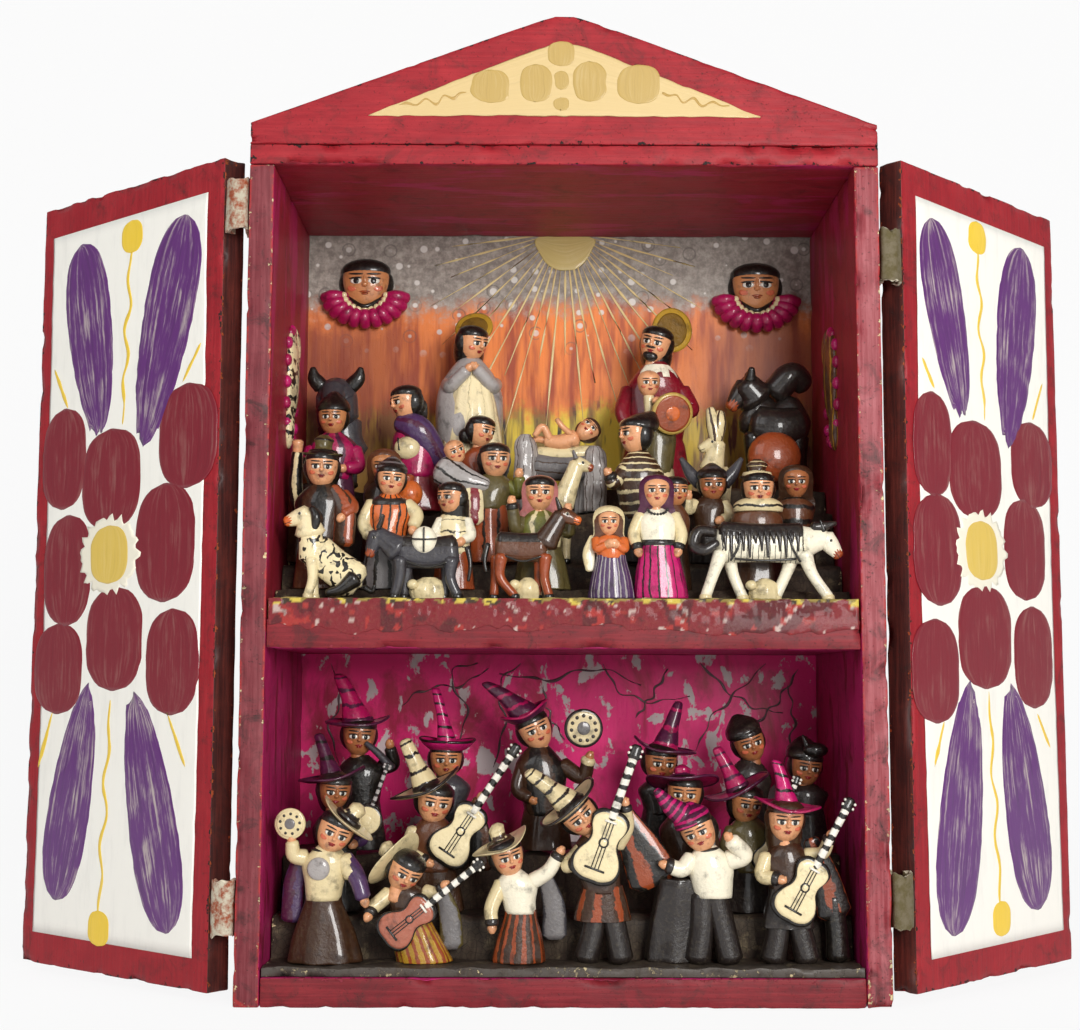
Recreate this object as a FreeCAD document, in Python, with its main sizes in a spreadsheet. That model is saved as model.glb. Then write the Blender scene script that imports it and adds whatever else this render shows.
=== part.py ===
import FreeCAD, Part
import Sketcher
import math
import os

# Folding altar box: a shallow cabinet of thin boards with a gable, two painted doors on leather
# strips, and two crowded scenes of small moulded figures that stand on stepped paste grounds.
# The frame's origin is the centre of the underside, +Z is up and the open front faces -Y.
# The doors stand in the pose of use: swung right back, past flat with the front.

Vec = FreeCAD.Vector
doc = FreeCAD.newDocument("altar_box")
sheet = doc.addObject("Spreadsheet::Sheet", "Sizes")

SIZES = [
    ("box_width", 205.0, "outside width over both side walls"),
    ("box_height", 275.0, "underside to the top of the top board"),
    ("inner_depth", 88.7, "front edge of the walls to the face of the back panel"),
    ("wall_thick", 8.3, "side wall boards"),
    ("top_thick", 6.8, "top board, laid over both walls"),
    ("bottom_thick", 9.3, "bottom board, let in between the walls"),
    ("back_thick", 4.0, "back panel, laid over the back edges"),
    ("shelf_under", 110.9, "underside of the shelf above the floor"),
    ("shelf_thick", 9.6, "shelf board"),
    ("edge_wear", 0.6, "rubbed edge on every board"),
    ("gable_rise", 44.0, "peak of the gable above the top board"),
    ("gable_shoulder", 6.5, "blunt end of the gable"),
    ("gable_thick", 9.0, "gable board"),
    ("gable_round", 7.0, "rounded peak"),
    ("door_height", 269.0, "door boards"),
    ("door_foot", 3.3, "lower edge of a door above the floor"),
    ("door_thick", 9.0, "door boards"),
    ("door_meet", 0.8, "gap between the closed doors"),
    ("door_clear", 0.3, "closed door off the front edges"),
    ("hinge_out", 5.15, "fold line of the leather outboard of a wall"),
    ("hinge_back", 0.7, "fold line behind the front edges"),
    ("open_left", 40.0, "degrees past flat, left door"),
    ("open_right", 45.0, "degrees past flat, right door"),
    ("strap_thick", 1.2, "leather of the hinge strips"),
    ("strap_tall", 17.0, "height of a hinge strip"),
    ("strap_leaf", 8.4, "stretch glued back along the wall"),
    ("strap_fit", 0.15, "glue between leather and board"),
    ("strap_low_left", 21.5, "foot of the lower left strip"),
    ("strap_high_left", 246.5, "foot of the upper left strip"),
    ("strap_low_right", 24.0, "foot of the lower right strip"),
    ("strap_high_right", 230.5, "foot of the upper right strip"),
    ("step_lip", 0.8, "paste ground behind the front edge of its board"),
    ("step_depth", 14.7, "depth of one step of the upper ground"),
    ("crowd_step", 20.6, "depth of one step of the lower ground"),
    ("ground_fit", 0.2, "paste ground off the side walls"),
    ("upper_first", 6.9, "paste on the shelf at the front"),
    ("upper_second", 10.5, "second step above the shelf"),
    ("upper_third", 20.5, "third step above the shelf"),
    ("upper_fourth", 39.5, "fourth step above the shelf"),
    ("upper_fifth", 50.5, "back step above the shelf"),
    ("lower_first", 3.0, "paste on the bottom board at the front"),
    ("lower_second", 16.7, "second step above the bottom board"),
    ("lower_third", 34.7, "back step above the bottom board"),
    ("relief_rise", 82.5, "middle of a wall relief above the shelf"),
    ("cherub_drop", 17.6, "face of a winged head below the top board"),
    ("head_half", 4.9, "half width of a grown figure's head"),
    ("sleeve_half", 1.9, "half thickness of a sleeve"),
]
for line, (alias, value, meaning) in enumerate(SIZES, start=1):
    sheet.set(f"A{line}", meaning)
    sheet.set(f"B{line}", str(value))
    sheet.setAlias(f"B{line}", alias)
doc.recompute()

ALIASES = {alias for alias, _, _ in SIZES}


def size(alias):
    """Value of one driving size."""
    return float(getattr(sheet, alias))


def cell(text):
    """The expression with every driving size read from the sheet; words stand apart by spaces."""
    return " ".join(f"Sizes.{word}" if word in ALIASES else word for word in text.split())


def bind(thing, places):
    """Bind an object's place to the sheet, one expression for each axis or angle."""
    for path, text in places.items():
        thing.setExpression(path, cell(text))


# ---------------------------------------------------------------- boards

def ground_plane(body, role):
    return next(face for face in body.Origin.OriginFeatures if face.Role == role)


def outline(body, role, corners):
    """Closed sketch of straight sides on one of the body's own planes, corners still unset."""
    sketch = body.newObject("Sketcher::SketchObject", body.Name + "_outline")
    sketch.AttachmentSupport = [(ground_plane(body, role), "")]
    sketch.MapMode = "FlatFace"
    count = len(corners)
    for i in range(count):
        sketch.addGeometry(Part.LineSegment(Vec(*corners[i], 0), Vec(*corners[(i + 1) % count], 0)))
    for i in range(count):
        sketch.addConstraint(Sketcher.Constraint("Coincident", i, 2, (i + 1) % count, 1))
    sketch.addConstraint(Sketcher.Constraint("Coincident", 0, 1, -1, 1))
    return sketch


def measure(sketch, name, constraint, text):
    """Add a driving dimension to the sketch and bind it to the sheet."""
    index = sketch.addConstraint(constraint)
    sketch.renameConstraint(index, name)
    sketch.setExpression(f"Constraints.{name}", cell(text))


def padded(body, sketch, text):
    pad = body.newObject("PartDesign::Pad", body.Name + "_pad")
    pad.Profile = sketch
    pad.setExpression("Length", cell(text))
    sketch.Visibility = False
    return pad


def rub_edges(body, pad):
    """Take the sharp edge off all round, as worn and painted boards have it."""
    doc.recompute()
    wear = body.newObject("PartDesign::Chamfer", body.Name + "_wear")
    wear.Base = (pad, [f"Edge{i + 1}" for i in range(len(pad.Shape.Edges))])
    wear.setExpression("Size", cell("edge_wear"))
    body.Tip = wear


def board(name, along, across, up, places):
    """Sawn board: a rectangle on the ground, along x and across y, padded upwards."""
    body = doc.addObject("PartDesign::Body", name)
    body.Label = name
    sketch = outline(body, "XY_Plane", [(0, 0), (9, 0), (9, 4), (0, 4)])
    for side in (0, 2):
        sketch.addConstraint(Sketcher.Constraint("Horizontal", side))
    for side in (1, 3):
        sketch.addConstraint(Sketcher.Constraint("Vertical", side))
    measure(sketch, "along", Sketcher.Constraint("DistanceX", 0, 1, 0, 2, 9.0), along)
    measure(sketch, "across", Sketcher.Constraint("DistanceY", 1, 1, 1, 2, 4.0), across)
    rub_edges(body, padded(body, sketch, up))
    bind(body, places)
    return body


HALF_DEPTH = "( inner_depth + back_thick ) / 2"
FRONT = f"-1 * {HALF_DEPTH}"
X, Y, Z = "Placement.Base.x", "Placement.Base.y", "Placement.Base.z"


def carcass():
    """The cabinet: two walls, top board over them, bottom and shelf between, back panel behind."""
    wall_up = "box_height - top_thick"
    between = "box_width - 2 * wall_thick"
    board("side_wall_left", "wall_thick", "inner_depth", wall_up,
          {X: "-1 * box_width / 2", Y: FRONT})
    board("side_wall_right", "wall_thick", "inner_depth", wall_up,
          {X: "box_width / 2 - wall_thick", Y: FRONT})
    board("top_board", "box_width", "inner_depth", "top_thick",
          {X: "-1 * box_width / 2", Y: FRONT, Z: wall_up})
    board("bottom_board", between, "inner_depth", "bottom_thick",
          {X: "wall_thick - box_width / 2", Y: FRONT})
    board("shelf_board", between, "inner_depth", "shelf_thick",
          {X: "wall_thick - box_width / 2", Y: FRONT, Z: "shelf_under"})
    board("back_panel", "box_width", "back_thick", "box_height",
          {X: "-1 * box_width / 2", Y: f"{HALF_DEPTH} - back_thick"})


def gable():
    """Gable board: blunt shoulders and a rounded peak, standing on the front of the top board."""
    body = doc.addObject("PartDesign::Body", "gable")
    body.Label = "gable"
    sketch = outline(body, "XZ_Plane", [(0, 0), (9, 0), (9, 2), (5, 6), (0, 2)])
    sketch.addConstraint(Sketcher.Constraint("Horizontal", 0))
    sketch.addConstraint(Sketcher.Constraint("Vertical", 1))
    sketch.addConstraint(Sketcher.Constraint("Vertical", 4))
    measure(sketch, "foot", Sketcher.Constraint("DistanceX", 0, 1, 0, 2, 9.0), "box_width")
    measure(sketch, "right_end", Sketcher.Constraint("DistanceY", 1, 1, 1, 2, 2.0), "gable_shoulder")
    measure(sketch, "left_end", Sketcher.Constraint("DistanceY", 4, 2, 4, 1, 2.0), "gable_shoulder")
    measure(sketch, "middle", Sketcher.Constraint("DistanceX", 0, 1, 3, 1, 5.0), "box_width / 2")
    measure(sketch, "rise", Sketcher.Constraint("DistanceY", 0, 1, 3, 1, 6.0), "gable_rise")
    pad = padded(body, sketch, "gable_thick")
    doc.recompute()
    peak = [f"Edge{i + 1}" for i, edge in enumerate(pad.Shape.Edges)
            if abs(edge.CenterOfMass.z - size("gable_rise")) < 0.01]
    crown = body.newObject("PartDesign::Fillet", "gable_crown")
    crown.Base = (pad, peak)
    crown.setExpression("Radius", cell("gable_round"))
    body.Tip = crown
    rub_edges(body, crown)
    bind(body, {X: "-1 * box_width / 2", Y: f"{FRONT} + gable_thick", Z: "box_height"})


def door_corner_out(swing):
    """How far the painted hinge corner lies outboard of the wall, door swung past flat."""
    return f"hinge_out + hinge_out * cos( {swing} * 1 deg ) - " \
           f"( door_clear + hinge_back ) * sin( {swing} * 1 deg )"


def door_corner_back(swing):
    """How far that corner lies behind the front edges."""
    return f"hinge_back + hinge_out * sin( {swing} * 1 deg ) + " \
           f"( door_clear + hinge_back ) * cos( {swing} * 1 deg )"


def doors():
    """Two door boards on their fold lines; each door's own x runs along its width."""
    width = "( box_width - door_meet ) / 2"
    swing = "open_right"
    board("door_right", width, "door_thick", "door_height",
          {X: f"box_width / 2 + {door_corner_out(swing)}",
           Y: f"{FRONT} + {door_corner_back(swing)}",
           Z: "door_foot", "Placement.Rotation.Angle": swing})
    swing = "open_left"
    board("door_left", width, "door_thick", "door_height",
          {X: f"-1 * ( box_width / 2 + {door_corner_out(swing)} + {width} * cos( {swing} * 1 deg ) )",
           Y: f"{FRONT} + {door_corner_back(swing)} + {width} * sin( {swing} * 1 deg )",
           Z: "door_foot", "Placement.Rotation.Angle": f"-1 * {swing}"})


# ---------------------------------------------------------------- leather and paste

def put(name, shape, place=None):
    """Keep a shape worked out above as a sub-part of its own."""
    thing = doc.addObject("Part::Feature", name)
    thing.Label = name
    thing.Shape = shape
    if place is not None:
        thing.Placement = place
    return thing


def ribbon(route, thick, tall):
    """Band of even thickness whose middle follows the route, mitred at its bends."""
    near, far = [], []
    for i, point in enumerate(route):
        before = (point - route[i - 1]).normalize() if i else None
        after = (route[i + 1] - point).normalize() if i + 1 < len(route) else None
        runs = [run for run in (before, after) if run]
        normals = [Vec(-run.y, run.x, 0) for run in runs]
        middle = sum(normals[1:], normals[0]).normalize()
        reach = thick / 2 / middle.dot(normals[0])
        near.append(point - middle * reach)
        far.append(point + middle * reach)
    ring = near + far[::-1]
    return Part.Face(Part.makePolygon(ring + ring[:1])).extrude(Vec(0, 0, tall))


def strap_route(swing):
    """Middle of a right-hand strip: forward along the wall, round the fold, back along the door.

    Measured from the front outer corner of the wall, x outboard and y backward.
    """
    off = size("strap_fit") + size("strap_thick") / 2
    lead = size("door_clear") + size("hinge_back")
    turn = math.radians(swing)
    out = size("hinge_out") * (1 + math.cos(turn)) - lead * math.sin(turn)
    back = size("hinge_back") + size("hinge_out") * math.sin(turn) + lead * math.cos(turn)
    corner = Vec(out, back, 0)
    along = Vec(-math.sin(turn), math.cos(turn), 0)
    inward = Vec(-math.cos(turn), -math.sin(turn), 0)
    start = corner + inward * off + along * off
    return [Vec(off, size("strap_leaf"), 0),
            Vec(off, off * 2, 0),
            Vec(size("hinge_out") * 0.62, off * 0.9, 0),
            start,
            start + along * (size("door_thick") * 0.36)]


def straps():
    """Two raw leather strips to a door, glued to the wall and to the door's edge."""
    thick, tall = size("strap_thick"), size("strap_tall")
    for side, name in ((-1, "left"), (1, "right")):
        band = ribbon(strap_route(size("open_" + name)), thick, tall)
        if side < 0:
            band = band.mirror(Vec(0, 0, 0), Vec(1, 0, 0))
        corner = Vec(side * size("box_width") / 2, -(size("inner_depth") + size("back_thick")) / 2, 0)
        pair = [band.translated(corner + Vec(0, 0, size(f"strap_{level}_{name}")))
                for level in ("low", "high")]
        put("hinge_straps_" + name, Part.makeCompound(pair))


def stepped_ground(name, first_top, board_top, depth, tops):
    """Paste ground: blocks one behind the other, each up to its own height, fused into steps."""
    blocks = []
    for i, top in enumerate(tops):
        block = doc.addObject("Part::Box", f"{name}_step_{i + 1}")
        reach = f"inner_depth - step_lip - {i} * {depth}"
        bind(block, {"Length": "box_width - 2 * wall_thick - 2 * ground_fit",
                     "Width": reach, "Height": top,
                     X: "wall_thick + ground_fit - box_width / 2",
                     Y: f"{FRONT} + step_lip + {i} * {depth}", Z: board_top})
        blocks.append(block)
    ground = doc.addObject("Part::MultiFuse", name)
    ground.Label = name
    ground.Shapes = blocks
    ground.Refine = True
    return ground


def grounds():
    stepped_ground("upper_ground", "upper_first", "shelf_under + shelf_thick", "step_depth",
                   ["upper_first", "upper_second", "upper_third", "upper_fourth", "upper_fifth"])
    stepped_ground("lower_ground", "lower_first", "bottom_thick", "crowd_step",
                   ["lower_first", "lower_second", "lower_third"])


# ---------------------------------------------------------------- moulded forms

def moulded(stations, aspect=1.0, sides=8):
    """Moulded form standing on its own z axis: flat facets between rings of like outline.

    A station is (height, half width) or (height, half width, shift x, shift y).
    """
    rings = []
    for height, half, *shift in stations:
        sx, sy = shift if shift else (0.0, 0.0)
        ring = []
        for i in range(sides):
            turn = 2 * math.pi * (i + 0.5) / sides
            ring.append(Vec(sx + half * math.cos(turn), sy + half * aspect * math.sin(turn), height))
        rings.append(ring)
    faces = [Part.Face(Part.makePolygon(ring + ring[:1])) for ring in (rings[0], rings[-1])]
    for low, high in zip(rings, rings[1:]):
        for i in range(sides):
            j = (i + 1) % sides
            faces.append(Part.Face(Part.makePolygon([low[i], low[j], high[j], high[i], low[i]])))
    solid = Part.Solid(Part.Shell(faces))
    if solid.Volume < 0:
        solid.reverse()
    return solid


def limb(start, end, thick, thin=None, sides=6):
    """Tapered limb, horn, ear or stick from one point to another."""
    run = end - start
    solid = moulded([(0, thick), (run.Length, thick if thin is None else thin)], 1.0, sides)
    solid.Placement = FreeCAD.Placement(start, FreeCAD.Rotation(Vec(0, 0, 1), run))
    return solid


def upright(foot, top, thin, thick, sides=6):
    """Leg or post with level ends, standing on its foot and leaning to its top."""
    return moulded([(foot.z, thin, foot.x, foot.y), (top.z, thick, top.x, top.y)], 1.0, sides)


def slab(points, thick):
    """Flat piece cut to an outline in the x-z plane, its back at y = 0."""
    ring = [Vec(x, 0, z) for x, z in points]
    return Part.Face(Part.makePolygon(ring + ring[:1])).extrude(Vec(0, -thick, 0))


def posed(shape, spot=Vec(0, 0, 0), turn=0.0, axis=Vec(0, 0, 1), pivot=Vec(0, 0, 0)):
    """Copy of a shape turned about an axis through the pivot, then moved by spot."""
    out = shape.copy()
    out.rotate(pivot, axis, turn)
    out.translate(spot)
    return out


def joined(name, shapes):
    """One piece out of moulded forms pressed together."""
    whole = shapes[0].multiFuse(shapes[1:]).removeSplitter()
    if len(whole.Solids) != 1:
        raise ValueError(f"{name}: {len(whole.Solids)} separate lumps")
    return whole.Solids[0]


def head(half, spot):
    """Head with chin, cheeks and crown, centred on its spot."""
    stations = [(-1.15 * half, 0.5 * half), (-0.5 * half, 0.95 * half),
                (0.45 * half, half), (1.15 * half, 0.55 * half)]
    return moulded([(z + spot.z, r, spot.x, spot.y) for z, r in stations], 0.95)


def hat(half, spot, brim, crown, lean=0.0, point=0.55):
    """Felt hat: a brim ring and a crown that narrows by point and leans sideways."""
    low = spot.z + 0.55 * half
    edge = moulded([(low, brim, spot.x, spot.y), (low + 1.3, brim * 0.96, spot.x, spot.y)])
    peak = moulded([(low + 0.6, half * 0.98, spot.x, spot.y),
                    (low + 0.55 * crown, half * (0.45 + 0.5 * point), spot.x + 0.4 * lean, spot.y),
                    (low + crown, half * point, spot.x + lean, spot.y)])
    return [edge, peak]


def guitar(long, spot, turn, broad=None):
    """Guitar facing -Y: waisted body, neck and head; turn leans the neck, 0 is upright."""
    half = (broad or 0.62 * long) / 2
    body = [(0.55 * half, 0), (0.95 * half, 0.14 * long), (half, 0.3 * long), (0.66 * half, 0.56 * long),
            (0.8 * half, 0.78 * long), (0.45 * half, 0.98 * long)]
    body += [(-x, z) for x, z in reversed(body)]
    neck = [(1.2, 0.9 * long), (1.2, 1.85 * long), (-1.2, 1.85 * long), (-1.2, 0.9 * long)]
    nut = [(1.9, 1.8 * long), (1.7, 2.15 * long), (-1.7, 2.15 * long), (-1.9, 1.8 * long)]
    shapes = [slab(body, 3.0), slab(neck, 2.0), slab(nut, 2.0)]
    centre = Vec(0, 0, 0.3 * long)
    return [posed(shape, spot - centre, turn, Vec(0, 1, 0), centre) for shape in shapes]


def tambourine(half, spot):
    """Frame drum held up on edge, its skin facing -Y."""
    drum = moulded([(0, half), (1.8, half)], 1.0, 10)
    return posed(drum, spot, 90, Vec(1, 0, 0))


def robe(tall, girth, shoulder, aspect=0.72, lean=(0.0, 0.0)):
    """Skirt, waist, chest and sloping shoulders; lean shifts the shoulders off the feet."""
    sx, sy = lean
    return moulded([(0, girth), (0.12 * tall, girth * 1.02), (0.42 * tall, 0.72 * (girth + shoulder) / 2,
                    0.4 * sx, 0.4 * sy), (0.6 * tall, shoulder, 0.8 * sx, 0.8 * sy),
                    (0.7 * tall, 0.86 * shoulder, sx, sy), (0.77 * tall, 0.42 * shoulder, sx, sy)], aspect)


def veil(half, spot, drop, spread=1.35):
    """Cloth over the head, falling behind the shoulders by drop."""
    return moulded([(spot.z - drop, spread * half * 1.1, spot.x, spot.y + 0.55 * half),
                    (spot.z - 0.4 * half, spread * half * 0.9, spot.x, spot.y + 0.5 * half),
                    (spot.z + 0.6 * half, spread * half * 0.86, spot.x, spot.y + 0.4 * half),
                    (spot.z + 1.35 * half, 0.6 * half, spot.x, spot.y + 0.3 * half)], 0.8)


def cap(half, spot, rise=1.75):
    """Close knitted cap with a small peak."""
    return moulded([(spot.z + 0.35 * half, 1.12 * half, spot.x, spot.y),
                    (spot.z + 0.95 * half, 0.95 * half, spot.x, spot.y),
                    (spot.z + rise * half, 0.35 * half, spot.x, spot.y)])


def villager(tall, girth, shoulder, half=None, lean=(0.0, 0.0), hands=(), wear=None, aspect=0.72,
             sleeve=None):
    """Standing figure facing -Y: robe, head, sleeves to its hands and whatever its head wears."""
    half = half or size("head_half")
    sleeve = sleeve or size("sleeve_half")
    sx, sy = lean
    face = Vec(sx, sy - 0.2 * half, 0.88 * tall)
    shapes = [robe(tall, girth, shoulder, aspect, lean), head(half, face)]
    for hand in hands:
        side = 1 if hand[0] > sx else -1
        root = Vec(sx + side * 0.78 * shoulder, sy, 0.66 * tall)
        shapes.append(limb(root, Vec(*hand), sleeve, 0.75 * sleeve))
    if wear is None:
        shapes.append(cap(half, face, 1.45))
    elif wear[0] == "hat":
        shapes += hat(half, face, *wear[1:])
    elif wear[0] == "veil":
        shapes.append(veil(half, face, *wear[1:]))
    else:
        shapes.append(cap(half, face, *wear[1:]))
    return shapes


def beast(trunk, back, deep, poll, muzzle, leg=1.5, ears=3.0, thick=0.7, tail=None):
    """Four-legged animal facing -X: trunk, four legs, neck up to the poll, head out to the muzzle."""
    body = moulded([(0, 0.62 * deep), (0.12 * trunk, deep), (0.5 * trunk, 0.9 * deep),
                    (0.88 * trunk, 0.98 * deep), (trunk, 0.66 * deep)], thick)
    body.rotate(Vec(0, 0, 0), Vec(0, 1, 0), 90)
    body.translate(Vec(-trunk / 2, 0, back - deep))
    shapes = [body]
    reach = 0.5 * thick * deep
    for x in (-0.4 * trunk, 0.38 * trunk):
        for y in (-reach, reach):
            shapes.append(upright(Vec(1.06 * x, y, 0), Vec(x, y, back - deep), leg, 1.35 * leg))
    poll, muzzle = Vec(*poll), Vec(*muzzle)
    shapes.append(limb(Vec(-0.4 * trunk, 0, back - 0.9 * deep), poll, 0.62 * deep, 0.42 * deep))
    shapes.append(limb(poll + Vec(1.0, 0, 0), muzzle, 0.5 * deep, 0.28 * deep))
    for y in (-0.26 * deep, 0.26 * deep):
        root = poll + Vec(0, y, 0.1 * deep)
        shapes.append(limb(root, root + Vec(0.5, 1.6 * y / deep, ears + 0.2 * deep), 1.0, 0.4, 4))
    if tail:
        shapes.append(limb(Vec(0.46 * trunk, 0, back - 0.6 * deep), Vec(*tail), 1.0, 0.7, 4))
    return shapes


# ---------------------------------------------------------------- where the figures stand

def niche_half():
    return size("box_width") / 2 - size("wall_thick")


def front_face():
    return -(size("inner_depth") + size("back_thick")) / 2


def tier_spot(niche, tier, share, forward=0.0):
    """Middle of a step: share runs from -1 at the left wall to 1 at the right one."""
    depth = size("step_depth") if niche == "upper" else size("crowd_step")
    board_top = size("shelf_under") + size("shelf_thick") if niche == "upper" else size("bottom_thick")
    rise = size(f"{niche}_{('first', 'second', 'third', 'fourth', 'fifth')[tier - 1]}")
    y = front_face() + size("step_lip") + (tier - 0.5) * depth - forward
    return Vec(share * niche_half(), y, board_top + rise)


def stand(name, shapes, niche, tier, share, turn=0.0, forward=0.0):
    """Set a figure down on its step, turned to face where it looks."""
    place = FreeCAD.Placement(tier_spot(niche, tier, share, forward),
                              FreeCAD.Rotation(Vec(0, 0, 1), turn))
    put(name, joined(name, shapes), place)


def stand_group(name, niche, members):
    """Set several like figures down as one group of separate solids."""
    solids = []
    for shapes, tier, share, turn, forward in members:
        solid = joined(name, shapes)
        solids.append(posed(solid, tier_spot(niche, tier, share, forward), turn))
    put(name, Part.makeCompound(solids))


# ---------------------------------------------------------------- upper scene

def herd():
    """Animals along the front of the shelf, and the resting sheep between their legs."""
    dog = [moulded([(0, 8.6, 5.0, 0), (7, 8.8, 4.0, 0), (17, 5.6, -2.4, 0), (24.5, 3.6, -5.6, 0)], 0.6),
           limb(Vec(-5.5, 0, 23.5), Vec(-13.0, 0, 26.0), 4.1, 2.3),
           limb(Vec(-4.0, -2.6, 25), Vec(-2.2, -3.4, 30.4), 1.6, 0.7, 4),
           limb(Vec(-4.0, 2.6, 25), Vec(-2.2, 3.4, 30.4), 1.6, 0.7, 4),
           upright(Vec(-9.0, -2.4, 0), Vec(-3.5, -2.4, 15), 1.6, 2.1),
           upright(Vec(-7.0, 2.4, 0), Vec(-3.5, 2.4, 15), 1.6, 2.1),
           limb(Vec(8.0, 1.5, 3.0), Vec(14.5, 1.5, 8.5), 1.3, 0.8, 4)]
    stand("spotted_dog", dog, "upper", 1, -0.825)
    donkey = beast(24, 20.5, 5.4, (-12.0, 0, 21.5), (-16.2, 0, 15.5), ears=4.5, tail=(15.5, 0, 6))
    stand("grey_donkey", donkey, "upper", 1, -0.475)
    calf = beast(22, 21.5, 5.6, (-11.0, 0, 25.5), (-15.0, 0, 20.5), ears=3.6, tail=(13.5, 0, 9))
    stand("brown_calf", calf, "upper", 1, -0.095, 180)
    bull = beast(37, 25.5, 7.2, (-19.5, 0, 23.5), (-25.0, 0, 15.0), 1.8, ears=3.2, thick=0.62,
                 tail=(25.0, 0, 17))
    stand("cream_bull", bull, "upper", 1, 0.703, 180)
    sheep = [moulded([(0, 4.0), (2.5, 4.6), (5.4, 2.2)], 0.55),
             limb(Vec(3.0, 0, 3.4), Vec(5.4, 0, 4.4), 1.6, 1.0)]
    stand_group("resting_sheep", "upper",
                [(sheep, 1, share, 0.0, 0.0) for share in (-0.462, -0.125, 0.69)])


def front_women():
    girl = villager(26.5, 6.4, 4.6, half=3.6, wear=("veil", 9.0),
                    hands=[(-1.2, -3.6, 15.5), (1.2, -3.6, 15.5)], sleeve=1.3)
    stand("girl_in_veil", girl, "upper", 1, 0.163)
    woman = villager(38.5, 8.2, 6.6, wear=("veil", 10.0, 1.2),
                     hands=[(-2.0, -5.0, 21.0), (2.0, -5.0, 21.0)])
    stand("woman_in_pink_skirt", woman, "upper", 1, 0.33)


def second_row():
    stand("olive_hat_shepherd",
          villager(46, 10.0, 9.4, wear=("hat", 8.6, 6.5), hands=[(-8.5, -6.0, 22), (8.5, -6.0, 22)]),
          "upper", 2, -0.85)
    stand("knit_cap_man",
          villager(42, 8.8, 7.8, wear=("cap", 1.8), hands=[(-5.5, -6.0, 24), (5.5, -6.0, 25)]),
          "upper", 2, -0.61)
    stand("long_haired_woman",
          villager(32, 6.2, 5.2, half=4.2, wear=("veil", 9.0, 1.15), hands=[(-3.5, -4.6, 17)]),
          "upper", 2, -0.4, -35)
    stand("pink_scarf_woman",
          villager(34, 8.6, 7.2, wear=("veil", 8.0, 1.3), hands=[(-9.0, -4.0, 28), (8.0, -4.0, 22)]),
          "upper", 2, -0.08)
    stand("brown_hat_shepherd",
          villager(38, 9.6, 9.0, wear=("cap", 1.9), hands=[(-7.0, -5.5, 20), (7.0, -5.5, 20)]),
          "upper", 2, 0.68)


def third_row():
    reaching = villager(38, 4.4, 3.9, half=3.6, hands=[(-3.2, -4.0, 43)])
    pot = villager(42, 7.8, 7.0, half=4.6, wear=("veil", 9.0, 1.25), hands=[(6.0, -5.5, 27)])
    pot.append(moulded([(24, 1.8, 8.2, -4.6), (27, 3.4, 8.2, -4.6), (31, 2.0, 8.2, -4.6)]))
    stand_group("onlookers_left", "upper", [(reaching, 3, -0.945, 0, 0), (pot, 3, -0.655, 0, 0)])
    mother = villager(37, 10.0, 9.0, lean=(3.4, 0), wear=("veil", 8.0, 1.2),
                      hands=[(-4.0, -6.0, 21), (4.4, -6.4, 19)])
    mother += [limb(Vec(-2.5, -1.0, 21), Vec(-6.5, -1.5, 30), 4.6, 3.4), head(3.7, Vec(-6.4, -1.6, 34.0))]
    stand("mother_with_child", mother, "upper", 3, -0.3)
    lamb = [moulded([(0, 4.6, -2.0, 0), (10, 5.4, -2.0, 0), (22, 3.8, -2.0, 0), (33, 3.0, -1.0, 0)], 0.85),
            limb(Vec(-2.4, 0, 34.0), Vec(6.6, 0, 33.0), 4.0, 2.0),
            limb(Vec(-2.0, -2.0, 35), Vec(-2.6, -3.2, 38.6), 1.2, 0.5, 4),
            limb(Vec(-2.0, 2.0, 35), Vec(-2.6, 3.2, 38.6), 1.2, 0.5, 4)]
    stand("manger_lamb", lamb, "upper", 3, 0.005)
    stand("striped_poncho_shepherd",
          villager(48, 9.4, 8.6, wear=("cap", 1.9), hands=[(-4.0, -6.2, 20), (4.0, -6.2, 24)]),
          "upper", 3, 0.25, -55, 1.7)
    child = villager(38.5, 4.9, 4.6, half=3.9)
    dark_cap = villager(34.5, 7.2, 6.2, half=4.6, wear=("cap", 2.2), hands=[(-5.8, -4.5, 22)])
    hooded = villager(31.5, 7.2, 6.6, half=4.6, wear=("veil", 8.0, 1.25))
    stand_group("onlookers_right", "upper",
                [(child, 2, 0.392, 0, 0), (dark_cap, 3, 0.525, 0, 0), (hooded, 3, 0.84, 0, 0)])


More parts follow.
